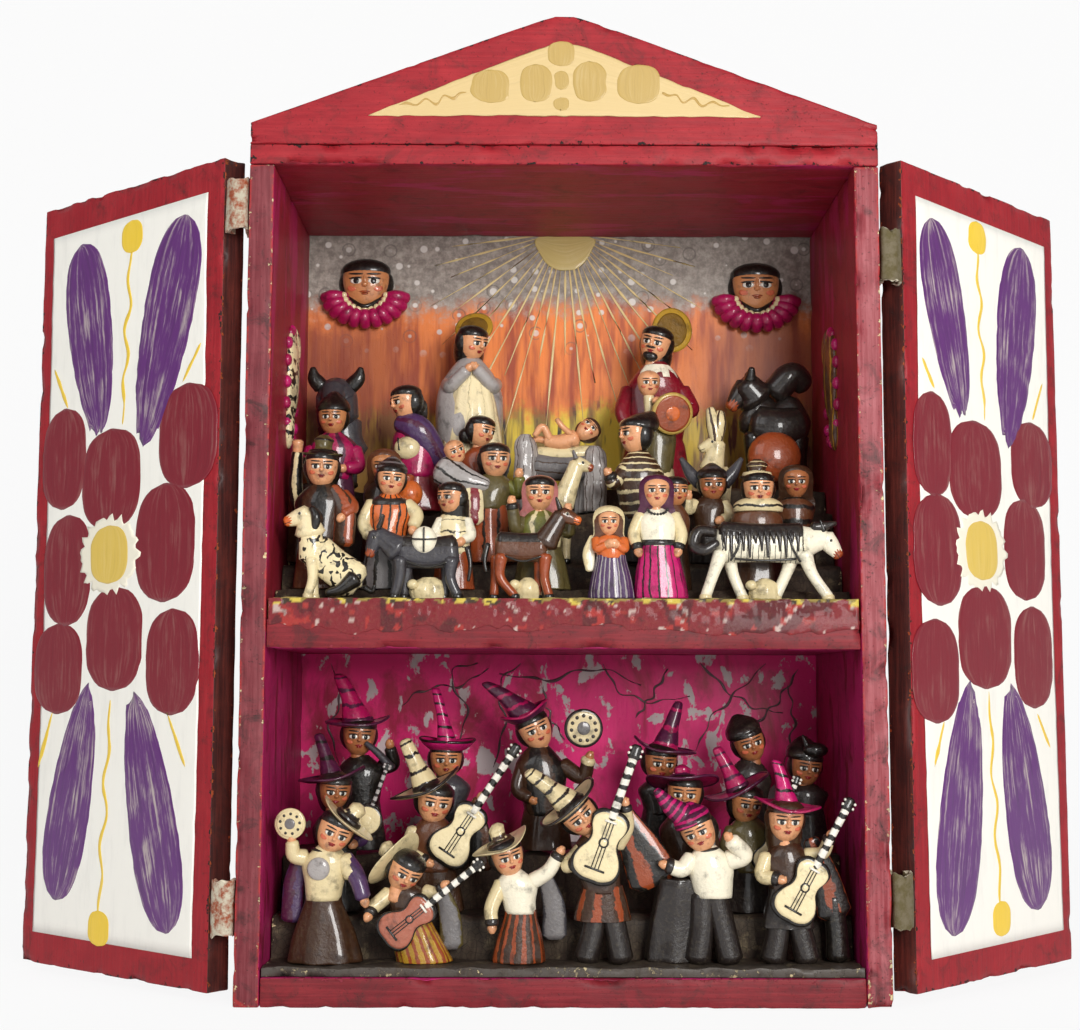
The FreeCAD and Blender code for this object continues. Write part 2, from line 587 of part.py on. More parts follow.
def fourth_row():
    stand("black_hat_man",
          villager(40, 9.0, 8.6, wear=("hat", 7.6, 8.6), hands=[(-6, -6, 22), (6, -6, 22)]),
          "upper", 4, -0.845)
    stand("purple_shawl_woman",
          villager(42, 9.0, 7.8, half=4.6, wear=("veil", 12.0, 1.1), hands=[(-5.0, -5.5, 20)]),
          "upper", 4, -0.545, -60, 1.5)
    stand("kneeling_woman",
          villager(30.5, 6.6, 5.0, half=4.3, wear=("cap", 1.6), hands=[(3.5, -4.0, 18)]),
          "upper", 4, -0.3, 60)
    bed_top = 20.5
    posts = [upright(Vec(x, y, 0), Vec(x + tip, y, tall), 2.1, 1.6)
             for x, y, tip, tall in ((-13.5, -3, -0.6, 31), (-9.4, 3, 0.4, 28), (9.4, -2.6, 0.5, bed_top),
                                     (10.0, 2.6, 0.6, bed_top))]
    bed = moulded([(9.0, 11.0), (13.0, 13.4), (bed_top, 13.8)], 0.4)
    stand("manger", posts + [bed], "upper", 4, -0.012)
    above_bed = Part.makeBox(60, 60, 60, Vec(-30, -30, bed_top))
    baby = [limb(Vec(-7.5, 0, bed_top + 2.3), Vec(4.6, 0, bed_top + 2.8), 2.7, 3.0, 8),
            head(3.5, Vec(7.2, 0, bed_top + 4.4)),
            limb(Vec(2.0, -1.5, bed_top + 4), Vec(-2.5, -3.4, bed_top + 9), 1.2, 0.9)]
    baby = [piece.common(above_bed) for piece in baby]
    stand("manger_child", baby, "upper", 4, 0.0)
    drummer = villager(46, 7.4, 6.2, half=4.2, hands=[(-4.6, -4.6, 33), (6.0, -4.6, 36)], wear=("cap", 1.3))
    drummer += [moulded([(27, 5.6, 4.2, -2.0), (36, 5.9, 4.2, -2.0)], 0.7)]
    stand("drummer", drummer, "upper", 4, 0.355)
    llama = [moulded([(0, 6.4), (9, 6.8), (15, 4.0, -1.5, 0), (20, 3.3, -2.0, 0)], 0.8),
             limb(Vec(-1.0, 0, 20.5), Vec(-7.4, 0, 18.6), 3.7, 2.0),
             limb(Vec(-0.8, -1.6, 21), Vec(-0.2, -2.8, 36.5), 2.0, 0.8, 4),
             limb(Vec(-0.8, 1.6, 21), Vec(1.8, 2.8, 34.5), 2.0, 0.8, 4)]
    stand("tall_eared_llama", llama, "upper", 4, 0.565)


def back_row():
    halo = moulded([(0, 7.4), (1.2, 7.4)], 1.0, 12)
    left_ox = [moulded([(0, 7.2), (20, 7.6), (27, 5.4), (38, 4.2), (39.5, 3.0)], 1.0),
               limb(Vec(0, -2.0, 33.0), Vec(0, -8.6, 28.5), 4.2, 2.7),
               limb(Vec(-3.0, 0, 36.5), Vec(-7.2, 0, 42.0), 1.5, 0.6, 4),
               limb(Vec(3.0, 0, 36.5), Vec(7.2, 0, 42.0), 1.5, 0.6, 4)]
    stand("horned_ox", left_ox, "upper", 5, -0.872)
    mother = villager(60, 14.2, 9.6, half=5.6, lean=(0.8, 0), wear=("veil", 20.0, 1.25),
                      hands=[(-2.5, -8.0, 37), (2.5, -8.0, 37)], aspect=0.62)
    mother.append(posed(halo, Vec(0.8, 6.6, 54.0), 90, Vec(1, 0, 0)))
    stand("praying_mother", mother, "upper", 5, -0.352, 20)
    father = villager(60, 15.6, 11.0, half=5.8, lean=(0.8, 0), hands=[(-7.0, -7.4, 31), (8.0, -7.4, 33)],
                      aspect=0.58)
    father.append(posed(halo, Vec(2.6, 5.6, 56.5), 90, Vec(1, 0, 0)))
    stand("bearded_father", father, "upper", 5, 0.335)
    ox = beast(24, 36.5, 8.6, (-10.5, 0, 33.0), (-15.0, -1.0, 22.0), 2.4, ears=3.4, thick=0.72)
    stand("black_ox", ox, "upper", 5, 0.8)


def wall_reliefs():
    """Winged heads on the back panel and animal reliefs on the side walls, each on a flat back."""
    face = moulded([(0, 9.6), (4.5, 9.4), (8.2, 5.6)], 0.94, 10)
    ruff = moulded([(0, 15.0, 0, -12.0), (3.0, 14.8, 0, -12.0), (5.6, 11.0, 0, -12.0)], 0.46, 12)
    cherubs = []
    wall = front_face() + size("inner_depth")
    face_height = size("box_height") - size("top_thick") - size("cherub_drop")
    for share in (-0.772, 0.8):
        bust = joined("cherubs", [face, ruff])
        bust.rotate(Vec(0, 0, 0), Vec(1, 0, 0), 90)
        cherubs.append(bust.translated(Vec(share * niche_half(), wall, face_height)))
    put("cherubs", Part.makeCompound(cherubs))
    carved = []
    for side in (-1, 1):
        coat = moulded([(0, 13.5, 0, 0), (1.6, 13.2, 0, 0), (2.8, 10.5, 0, 0)], 1.75, 10)
        coat.rotate(Vec(0, 0, 0), Vec(0, 1, 0), -90 * side)
        middle = front_face() + size("inner_depth") / 2
        relief_height = size("shelf_under") + size("shelf_thick") + size("relief_rise")
        carved.append(coat.translated(Vec(side * niche_half(), middle, relief_height)))
    put("wall_reliefs", Part.makeCompound(carved))


# ---------------------------------------------------------------- lower scene

def front_band():
    singer = villager(45, 11.4, 7.0, lean=(1.0, 0), wear=("hat", 7.4, 8.5, 2.4, 0.5),
                      hands=[(-11.6, -4.2, 39.5), (9.5, -6.0, 27)])
    singer.append(tambourine(4.4, Vec(-12.6, -4.0, 43.4)))
    stand("tambourine_singer", singer, "lower", 1, -0.785)
    squatting = villager(32.5, 9.6, 7.6, lean=(-0.5, 0), wear=("hat", 8.0, 6.6, -1.0),
                         hands=[(-3.0, -6.6, 14), (9.0, -6.0, 18)])
    squatting += guitar(15.5, Vec(1.5, -5.2, 14.5), 53, 10.5)
    stand("squatting_guitarist", squatting, "lower", 1, -0.525, forward=0.6)
    dancer = villager(35, 9.2, 6.2, half=4.4, lean=(-1.4, 0), wear=("hat", 6.6, 6.0, 1.2),
                      hands=[(-9.6, -2.0, 17.5), (13.4, -2.0, 27.5)])
    stand("cream_shirt_dancer", dancer, "lower", 1, -0.17, forward=-2.6)
    caped = villager(50, 8.4, 9.6, lean=(-6.5, 0), wear=("hat", 8.4, 12.5, -13.5, 0.4),
                     hands=[(-2.0, -7.0, 31), (4.0, -6.4, 40)])
    caped += guitar(15.6, Vec(0.6, -5.6, 33.5), 17, 10.4)
    caped.append(limb(Vec(1.5, 0, 38), Vec(12.5, 1.0, 18), 6.0, 3.0))
    stand("caped_guitarist", caped, "lower", 1, 0.142, forward=0.3)
    trousered = villager(47, 9.0, 6.8, wear=("cap", 2.1), hands=[(-10.5, -4.0, 29.5), (12.5, -3.4, 34.5)])
    trousered.append(limb(Vec(-2.5, 0, 45), Vec(-9.5, 0, 50.5), 4.2, 3.0))
    stand("knit_hat_dancer", trousered, "lower", 1, 0.465)
    right = villager(49, 10.5, 9.2, wear=("hat", 9.4, 12.0, -5.0, 0.4),
                     hands=[(-2.5, -7.0, 24), (10.0, -6.0, 34)])
    right += guitar(15.0, Vec(2.8, -5.6, 24.5), 34, 10.4)
    stand("right_guitarist", right, "lower", 1, 0.775, forward=0.3)


def middle_band():
    banjo = villager(49, 9.0, 7.6, wear=("hat", 8.8, 11.0, -4.0, 0.45), hands=[(9.5, -5.0, 32)])
    banjo.append(posed(moulded([(0, 5.2), (2.4, 5.2)], 1.0, 10), Vec(11.5, -3.4, 34), 90, Vec(1, 0, 0)))
    banjo.append(limb(Vec(12.5, -4.6, 36), Vec(18.0, -4.6, 47.5), 1.2, 1.2, 4))
    stand("banjo_player", banjo, "lower", 2, -0.815)
    tall_hat = villager(40, 9.4, 8.0, lean=(-1.5, 0), wear=("hat", 8.4, 19.0, -10.5, 0.35),
                        hands=[(2.0, -6.6, 25), (11.0, -5.6, 32)])
    tall_hat += guitar(15.5, Vec(6.0, -5.0, 26.0), 37, 11.0)
    stand("tall_hat_guitarist", tall_hat, "lower", 2, -0.452)
    flat_hat = villager(44, 8.8, 7.0, wear=("hat", 10.2, 5.0, 0.0, 0.7), hands=[(-6.0, -5.5, 24)])
    stand("flat_hat_woman", flat_hat, "lower", 2, 0.42)
    strummer = villager(41, 8.2, 7.0, half=4.5, wear=("hat", 8.0, 15.0, -6.5, 0.4), hands=[(2.0, -6.0, 20)])
    strummer += guitar(11.0, Vec(4.0, -5.0, 20.0), 24, 8.0)
    stand("far_guitarist", strummer, "lower", 2, 0.655)


def back_band():
    piper = villager(48, 9.0, 7.6, wear=("hat", 8.0, 16.5, -3.0, 0.3), hands=[(7.5, -5.4, 32)])
    piper.append(limb(Vec(1.0, -3.6, 40.0), Vec(10.0, -7.6, 29.5), 1.2, 1.0))
    stand("flute_player", piper, "lower", 3, -0.75)
    thin_hat = villager(37.5, 8.2, 7.0, half=4.6, wear=("hat", 8.0, 18.0, -1.5, 0.25), hands=[(5, -5, 20)])
    stand("thin_hat_woman", thin_hat, "lower", 3, -0.42)
    high = villager(49, 8.6, 7.4, lean=(0.8, 0), wear=("hat", 7.4, 12.0, -8.5, 0.35),
                    hands=[(13.0, -4.8, 38)])
    high.append(tambourine(6.6, Vec(15.6, -4.4, 43.0)))
    stand("high_tambourine_player", high, "lower", 3, -0.1)
    singer = villager(36, 8.0, 7.0, wear=("hat", 7.6, 14.5, 4.0, 0.3), hands=[(-5, -5, 20)])
    stand("purple_hat_singer", singer, "lower", 3, 0.345)
    dark_cap = villager(43, 7.6, 7.0, half=4.6, wear=("cap", 1.8))
    shadowed = villager(37, 8.4, 7.4, half=4.6, wear=("hat", 7.6, 5.0))
    stand_group("back_singers", "lower", [(dark_cap, 3, 0.655, 0, 0), (shadowed, 3, 0.88, 0, 0)])


carcass()
gable()
doors()
straps()
grounds()
herd()
front_women()
second_row()
third_row()
fourth_row()
back_row()
wall_reliefs()
front_band()
middle_band()
back_band()
doc.recompute()

# ---------------------------------------------------------------- checks and files

PARTS_FOLDER = "parts"
kept = [thing for thing in doc.Objects
        if thing.TypeId in ("PartDesign::Body", "Part::Feature", "Part::MultiFuse")]
for thing in doc.Objects:
    if "Invalid" in thing.State or "Error" in thing.State:
        raise RuntimeError(f"{thing.Name} didn't recompute: {thing.State}")
for thing in kept:
    if thing.Shape.isNull() or not thing.Shape.isValid():
        raise RuntimeError(f"{thing.Label} has no valid shape")
os.makedirs(PARTS_FOLDER, exist_ok=True)
for thing in kept:
    thing.Shape.exportStep(os.path.join(PARTS_FOLDER, thing.Label + ".step"))
print(len(kept), "sub-parts written")
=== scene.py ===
"""Looks of a folding altar box: worn boards, flowered doors, leather strips and moulded figures."""
import itertools
import math

import bpy
import numpy as np
from bpy.props import FloatProperty, FloatVectorProperty, IntProperty, PointerProperty
from bpy.types import Operator, Panel, PropertyGroup
from mathutils import Matrix, Vector


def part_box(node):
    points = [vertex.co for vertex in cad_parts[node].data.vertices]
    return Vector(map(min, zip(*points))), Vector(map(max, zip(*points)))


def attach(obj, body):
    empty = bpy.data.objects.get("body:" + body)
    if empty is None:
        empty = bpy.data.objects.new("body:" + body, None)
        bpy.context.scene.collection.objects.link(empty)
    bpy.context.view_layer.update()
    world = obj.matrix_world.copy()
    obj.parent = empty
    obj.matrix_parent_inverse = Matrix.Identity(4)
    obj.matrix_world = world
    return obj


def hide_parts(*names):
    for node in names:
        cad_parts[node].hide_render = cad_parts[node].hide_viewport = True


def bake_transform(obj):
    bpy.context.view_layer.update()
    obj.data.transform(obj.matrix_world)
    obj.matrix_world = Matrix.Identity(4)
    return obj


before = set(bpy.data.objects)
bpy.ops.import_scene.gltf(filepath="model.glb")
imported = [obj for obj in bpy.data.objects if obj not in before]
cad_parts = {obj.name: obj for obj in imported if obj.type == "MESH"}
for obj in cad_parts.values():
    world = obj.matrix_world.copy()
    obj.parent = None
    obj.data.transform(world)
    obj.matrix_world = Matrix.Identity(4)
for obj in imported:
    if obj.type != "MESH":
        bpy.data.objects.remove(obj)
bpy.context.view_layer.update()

bl_info = {
    "name": "Folding altar box",
    "version": (1, 0),
    "blender": (4, 5, 0),
    "location": "View3D > Sidebar > Altar box",
    "description": "Dresses the boards, doors, leather and figures of a painted altar box",
    "category": "Object",
}

MM = 0.001
FULL_TURN = 2 * math.pi


# ------------------------------------------------------------------ places in the frame

def low(node):
    """Lowest corner of a CAD node in millimetres."""
    return np.array(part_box(node)[0]) / MM


def high(node):
    """Highest corner of a CAD node in millimetres."""
    return np.array(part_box(node)[1]) / MM


FRONT = low("side_wall_left")[1]
BACK = high("side_wall_left")[1]
NICHE = low("side_wall_right")[0]
UPPER_FLOOR = high("shelf_board")[2]
LOWER_FLOOR = high("bottom_board")[2]

# sizes of part.py that its boxes don't give, in millimetres and degrees
SIDES = ((-1, "left"), (1, "right"))
OPEN_ANGLE = {"left": 40, "right": 45}
DOOR_THICK, DOOR_FOOT = 9.0, 3.3
STRAP_TALL = 17.0
GABLE_SHOULDER = 6.5
UPPER_TIERS, UPPER_STEP = (6.9, 10.5, 20.5, 39.5, 50.5), 14.7
LOWER_TIERS, LOWER_STEP = (3.0, 16.7, 34.7), 20.6
LIP = 0.8

# size of the faces that a board's surface is cut into, and a metre in millimetres for the shaders
BOARD_CELL = 2.2
IN_MM = (1000.0, 1000.0, 1000.0)


def linear(code):
    """Linear colour of a hex code, as the shaders take it."""
    parts = [int(code[i:i + 2], 16) / 255 for i in (1, 3, 5)]
    return tuple(c / 12.92 if c < 0.04045 else ((c + 0.055) / 1.055) ** 2.4 for c in parts)


PAINT = {name: linear(code) for name, code in {
    "crimson": "#7e1022", "rose": "#8a2f3c", "blood": "#5b0a18",
    "magenta": "#a51050", "pink": "#c01868", "plum": "#4b1436",
    "violet": "#4a2f58", "cream": "#ead9ac", "ivory": "#f0e8d0", "wool": "#dcca9c",
    "gold": "#b8984a", "ochre": "#b58a28", "yellow": "#d6a920", "orange": "#d0662a",
    "rust": "#96431f", "brown": "#5e3620", "umber": "#3c2415", "black": "#15110f",
    "soot": "#221b19", "grey": "#6e6a6a", "silver": "#a39d9a", "slate": "#3d3b40",
    # the two darker skins after skin are painted shade: the skin darkened for figures further back
    "olive": "#5a4f2c", "moss": "#6b6a2a", "skin": "#df9f72", "tan": "#c68353",
    "dusky": "#a5663e", "blush": "#cf6a4a", "lips": "#8c1a1c", "white": "#eee9dc",
}.items()}


def tone(paint):
    """Linear colour of a paint's name, of a hex code or of a colour as it is."""
    if not isinstance(paint, str):
        return tuple(paint)
    return PAINT[paint] if paint in PAINT else linear(paint)


def value_noise(points, cell, seed=0):
    """Smooth noise from -1 to 1: random values on a lattice of that cell, blended in between."""
    place = np.floor(points / cell).astype(np.int64)
    part = points / cell - place
    part = part * part * (3 - 2 * part)
    total = np.zeros(len(points))
    for corner in itertools.product((0, 1), repeat=3):
        key = place + np.array(corner)
        mix = key[:, 0] * 73856093 ^ key[:, 1] * 19349663 ^ key[:, 2] * 83492791 ^ seed * 40503
        mix = ((mix ^ (mix >> 13)) * 1274126177) & 0xFFFFFFFF
        value = ((mix ^ (mix >> 16)) & 0xFFFF) / 32767.5 - 1
        total += value * np.prod(np.where(corner, part, 1 - part), axis=1)
    return total


def smooth(rows, count):
    """Values on a curve through the rows: each stretch is a cubic whose slopes follow its neighbours."""
    rows = np.asarray(rows, float)
    along = np.linspace(0, len(rows) - 1, count)
    first = np.minimum(along.astype(int), len(rows) - 2)
    part = (along - first)[:, None]
    more = np.vstack([2 * rows[0] - rows[1], rows, 2 * rows[-1] - rows[-2]])
    a, b, c, d = (more[first + k] for k in range(4))
    bend = (2 * a - 5 * b + 4 * c - d) * part ** 2 + (3 * b - a - 3 * c + d) * part ** 3
    return 0.5 * (2 * b + (c - a) * part + bend)


# ------------------------------------------------------------------ pieces and their meshes

class Piece:
    """Surfaces of one piece in millimetres, with the paint of each point, before they become a mesh.

    A surface is an array of rings (rows, points round, xyz). Rings run anticlockwise as seen from
    the end that they climb to, so that the faces point outwards; each end closes on a pole.
    """

    def __init__(self, place=None):
        """Empty piece; place carries its points into the frame."""
        self.place = place or Matrix.Identity(4)
        self.points, self.quads, self.trios = [], [], []
        self.paint, self.second, self.weave = [], [], []
        self.total = 0

    def add(self, rings, paint, second=None, stripe=None, amount=0.0, spots=0.0, open_ring=False):
        """One closed surface. stripe runs 0 to 1 per stripe; amount and spots show the second paint."""
        rows, around = rings.shape[:2]
        flat = rings.reshape(-1, 3)
        poles = np.array([rings[0].mean(0), rings[-1].mean(0)])
        index = np.arange(rows * around).reshape(rows, around) + self.total
        right = np.roll(index, -1, axis=1)
        span = slice(0, around - 1) if open_ring else slice(0, around)
        quads = np.stack([index[:-1, span], right[:-1, span], right[1:, span], index[1:, span]], -1)
        first, last = self.total + rows * around, self.total + rows * around + 1
        down = np.stack([right[0], index[0], np.full(around, first)], -1)
        up = np.stack([index[-1], right[-1], np.full(around, last)], -1)
        self.quads.append(quads.reshape(-1, 4))
        self.trios += [down, up]
        self.points.append(np.vstack([flat, poles]))
        count = rows * around + 2
        colour = np.asarray(tone(paint) if isinstance(paint, str) else paint, float)
        if colour.ndim == 1:
            colour = np.tile(colour, (count, 1))
        else:
            colour = np.vstack([colour, colour[:1], colour[-1:]])
        other = colour if second is None else np.tile(tone(second), (count, 1))
        coordinate = np.zeros(rows * around) if stripe is None else stripe.reshape(-1)
        coordinate = np.append(coordinate, [coordinate[0], coordinate[-1]])
        weave = np.stack([coordinate, np.full(count, float(amount)), np.full(count, float(spots))], -1)
        self.paint.append(colour)
        self.second.append(other)
        self.weave.append(weave)
        self.total += count

    def mesh(self, name):
        """Mesh in metres in the frame, with the paints as point attributes."""
        points = np.vstack(self.points)
        matrix = np.array(self.place)
        points = (points @ matrix[:3, :3].T + matrix[:3, 3]) * MM
        quads, trios = np.vstack(self.quads), np.vstack(self.trios)
        mesh = bpy.data.meshes.new(name)
        mesh.vertices.add(len(points))
        mesh.vertices.foreach_set("co", points.ravel())
        mesh.loops.add(quads.size + trios.size)
        mesh.loops.foreach_set("vertex_index", np.append(quads.ravel(), trios.ravel()).astype(np.int32))
        mesh.polygons.add(len(quads) + len(trios))
        starts = np.append(np.arange(len(quads)) * 4, quads.size + np.arange(len(trios)) * 3)
        mesh.polygons.foreach_set("loop_start", starts.astype(np.int32))
        mesh.update(calc_edges=True)
        mesh.validate()
        mesh.polygons.foreach_set("use_smooth", np.ones(len(mesh.polygons), bool))
        for label, rows in (("paint", self.paint), ("second", self.second)):
            values = np.vstack(rows)
            values = np.hstack([values, np.ones((len(values), 1))])
            mesh.attributes.new(label, "FLOAT_COLOR", "POINT").data.foreach_set("color", values.ravel())
        weave = np.vstack(self.weave)
        mesh.attributes.new("weave", "FLOAT_VECTOR", "POINT").data.foreach_set("vector", weave.ravel())
        return mesh


def linked(name, data):
    """Object of that name for a mesh, lamp or camera, linked into the scene."""
    made = bpy.data.objects.new(name, data)
    bpy.context.scene.collection.objects.link(made)
    return made


def settle(name, mesh, material, body, slot, *nodes):
    """Object for a Piece or for a mesh in place; it rides on a body and may stand for CAD nodes."""
    if isinstance(mesh, Piece):
        mesh = mesh.mesh(name)
    piece = linked(name, mesh)
    for each in material if isinstance(material, (list, tuple)) else [material]:
        mesh.materials.append(each)
    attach(piece, body)
    if nodes:
        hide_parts(*nodes)
    return piece


# ------------------------------------------------------------------ surfaces

def circle(count):
    """Angles round a ring, and their cosines and sines."""
    turn = np.linspace(0, FULL_TURN, count, endpoint=False)
    return turn, np.cos(turn), np.sin(turn)


def turned(spot, matrix, rings):
    """Rings carried from a piece's own frame: turned by the matrix, then moved to the spot."""
    return rings @ np.array(matrix.to_3x3()).T + np.array(spot)


def ball(spot, radii, matrix=None, rows=11, around=16):
    """Ellipsoid: each ring's radius is the cosine of its height angle, its height the sine."""
    height = np.linspace(-1.48, 1.48, rows)[:, None]
    _, cosine, sine = circle(around)
    rings = np.stack([np.cos(height) * cosine * radii[0], np.cos(height) * sine * radii[1],
                      np.sin(height) * radii[2] * np.ones_like(cosine)], -1)
    return turned(spot, matrix or Matrix.Identity(4), rings)


def stack(levels, rows=24, around=32, folds=0, fold=(0.0, 0.0), phase=0.0, wobble=0.0, seed=1):
    """Upright form through levels (height, half width, half depth, shift x, shift y).

    Ring radius = level radius * (1 + fold * cos(folds * angle + phase)), the fold fading from its
    foot value to its head value, plus a little noise.
    """
    level = smooth([tuple(row) + (0.0,) * (5 - len(row)) for row in levels], rows)
    turn, cosine, sine = circle(around)
    share = np.linspace(0, 1, rows)[:, None]
    depth = fold[0] * (1 - share) + fold[1] * share
    swell = 1 + depth * np.cos(folds * turn + phase)
    rings = np.stack([level[:, 3:4] + level[:, 1:2] * cosine * swell,
                      level[:, 4:5] + level[:, 2:3] * sine * swell,
                      level[:, 0:1] * np.ones_like(cosine)], -1)
    if wobble:
        push = value_noise(rings.reshape(-1, 3), 3.2, seed).reshape(rows, around)
        rings[..., 0] += wobble * push * cosine
        rings[..., 1] += wobble * push * sine
    return rings


def tube(path, radii, rows=12, around=10, flat=1.0):
    """Limb along a smooth path: at each station a ring square to the path, its ends drawn in."""
    spine = smooth(np.hstack([np.asarray(path, float), np.asarray(radii, float)[:, None]]), rows)
    route, half = spine[:, :3], spine[:, 3].copy()
    tangent = np.gradient(route, axis=0)
    tangent /= np.linalg.norm(tangent, axis=1, keepdims=True)
    guide = np.array([0.0, 1.0, 0.0]) if abs(tangent[:, 1]).max() < 0.9 else np.array([1.0, 0, 0])
    side = np.cross(guide, tangent)
    side /= np.linalg.norm(side, axis=1, keepdims=True)
    over = np.cross(tangent, side)
    ends = np.vstack([route[:1] - tangent[:1] * half[0] * 0.35, route,
                      route[-1:] + tangent[-1:] * half[-1] * 0.35])
    side = np.vstack([side[:1], side, side[-1:]])
    over = np.vstack([over[:1], over, over[-1:]])
    half = np.concatenate([[half[0] * 0.62], half, [half[-1] * 0.62]])[:, None, None]
    _, cosine, sine = circle(around)
    return (ends[:, None, :] + half * cosine[None, :, None] * side[:, None, :]
            + half * flat * sine[None, :, None] * over[:, None, :])


def plate(outline, thick, spot, matrix, steps=(0.0, 0.55, 0.9, 1.0), swell=0.0):
    """Flat piece with a rounded rim, its face towards -Y: the outline (x, z) shrunk to its middle.

    Rings go from the back's middle out to the rim, round it and in again over the front.
    """
    outline = np.asarray(outline, float)
    middle = outline.mean(0)
    rings = []
    for sign, order in ((1, steps[1:]), (-1, steps[:0:-1])):
        for share in order:
            rim = 0.72 if share == 1.0 else 1.0
            depth = sign * thick / 2 * rim + (-swell * (1 - share ** 2) if sign < 0 else 0.0)
            flat = middle + (outline - middle) * share
            rings.append(np.column_stack([flat[:, 0], np.full(len(flat), depth), flat[:, 1]]))
    return turned(spot, matrix, np.array(rings))


def oval(half_wide, half_tall, count=24, wave=0.0, lobes=0, phase=0.0):
    """Outline in x and z whose radius swells with a cosine of lobes; clockwise, so it faces -Y."""
    turn = -np.linspace(0, FULL_TURN, count, endpoint=False)
    swell = 1 + wave * np.cos(lobes * turn + phase)
    return np.column_stack([half_wide * swell * np.cos(turn), half_tall * swell * np.sin(turn)])


# ------------------------------------------------------------------ shader helpers

def node(tree, kind, values=None, **settings):
    """One shader node with its settings; each input takes a value or a link."""
    made = tree.nodes.new("ShaderNode" + kind)
    for label, value in settings.items():
        setattr(made, label, value)
    for key, value in (values or {}).items():
        if isinstance(value, bpy.types.NodeSocket):
            tree.links.new(value, made.inputs[key])
        else:
            made.inputs[key].default_value = value
    return made


def mix(tree, share, under, over, mode="MIX"):
    """Colour between two colours."""
    shades = [c if isinstance(c, bpy.types.NodeSocket) else (*c[:3], 1) for c in (under, over)]
    return node(tree, "Mix", {0: share, 6: shades[0], 7: shades[1]},
                data_type="RGBA", blend_type=mode).outputs[2]


def calc(tree, operation, first, second=0.0, third=0.0):
    """Result of a Math node; MULTIPLY_ADD gives first * second + third."""
    return node(tree, "Math", {0: first, 1: second, 2: third}, operation=operation).outputs[0]


def times(tree, first, second):
    """Product of two values."""
    return calc(tree, "MULTIPLY", first, second)


def step(tree, value, start, end):
    """0 before start and 1 after end, turning smoothly in between."""
    return node(tree, "MapRange", {"Value": value, "From Min": start, "From Max": end},
                interpolation_type="SMOOTHSTEP").outputs[0]


def stretch(tree, vector, scale):
    """Vector times a scale for each axis."""
    return node(tree, "VectorMath", {0: vector, 1: scale}, operation="MULTIPLY").outputs[0]


def cloud(tree, vector, scale, detail=4.0, rough=0.55, twist=0.0):
    """Noise from 0 to 1, most of it near 0.5."""
    return node(tree, "TexNoise", {"Vector": vector, "Scale": scale, "Detail": detail,
                                   "Roughness": rough, "Distortion": twist}).outputs["Fac"]


def attribute(tree, label, output="Vector"):
    """Value that the mesh holds at each point."""
    return node(tree, "Attribute", attribute_name=label).outputs[output]


def group_tree(label, inputs, outputs):
    """Empty node group with its sockets: (name, kind, default) rows."""
    tree = bpy.data.node_groups.new(label, "ShaderNodeTree")
    for side, rows in (("INPUT", inputs), ("OUTPUT", outputs)):
        for name, kind, *default in rows:
            socket = tree.interface.new_socket(name, in_out=side, socket_type="NodeSocket" + kind)
            if default:
                socket.default_value = default[0]
    return tree, tree.nodes.new("NodeGroupInput"), tree.nodes.new("NodeGroupOutput")


def aged_paint():
    """Brushed paint with age: streaks, clouds, dark specks, grime, and chips that favour the edges."""
    if "aged_paint" in bpy.data.node_groups:
        return bpy.data.node_groups["aged_paint"]
    tree, start, end = group_tree(
        "aged_paint",
        [("Place", "Vector"), ("Colour", "Color"), ("Faded", "Color"), ("Under", "Color"),
         ("Edge", "Float", 9.0), ("Streak", "Float", 0.5), ("Wear", "Float", 0.3),
         ("Grime", "Float", 0.4)],
        [("Colour", "Color"), ("Roughness", "Float"), ("Height", "Float")])
    given = start.outputs
    streak = cloud(tree, stretch(tree, given["Place"], (0.9, 0.9, 0.045)), 1.0, 5.0, 0.6)
    patch = cloud(tree, given["Place"], 0.06, 5.0, 0.6, 0.4)
    speck = step(tree, cloud(tree, given["Place"], 1.3, 1.5, 0.4), 0.66, 0.74)
    lift = times(tree, step(tree, streak, 0.38, 0.66), given["Streak"])
    lift = calc(tree, "MULTIPLY_ADD", step(tree, patch, 0.42, 0.7), 0.45, lift)
    colour = mix(tree, calc(tree, "MINIMUM", lift, 1.0), given["Colour"], given["Faded"])
    near = step(tree, given["Edge"], 2.6, 0.0)
    chance = calc(tree, "MULTIPLY_ADD", near, 0.16, cloud(tree, given["Place"], 0.42, 7.0, 0.65))
    chance = calc(tree, "MULTIPLY_ADD", given["Wear"], 0.12, chance)
    chip = step(tree, chance, 0.735, 0.765)
    dark = times(tree, step(tree, cloud(tree, given["Place"], 0.11, 7.0, 0.7, 0.8), 0.48, 0.72),
                 given["Grime"])
    dark = calc(tree, "MULTIPLY_ADD", speck, times(tree, given["Grime"], 0.7), dark)
    colour = mix(tree, chip, colour, given["Under"])
    colour = mix(tree, calc(tree, "MINIMUM", dark, 0.85), colour, PAINT["soot"])
    rough = calc(tree, "MULTIPLY_ADD", streak, 0.3, 0.42)
    rough = calc(tree, "MULTIPLY_ADD", chip, 0.25, rough)
    height = calc(tree, "MULTIPLY_ADD", streak, 0.8, times(tree, speck, 0.35))
    height = calc(tree, "MULTIPLY_ADD", chip, -0.7, height)
    for label, value in (("Colour", colour), ("Roughness", rough), ("Height", height)):
        tree.links.new(value, end.inputs[label])
    return tree


def new_material(name):
    """Material with an empty node tree."""
    material = bpy.data.materials.new(name)
    material.use_nodes = True
    tree = material.node_tree
    tree.nodes.clear()
    return material, tree


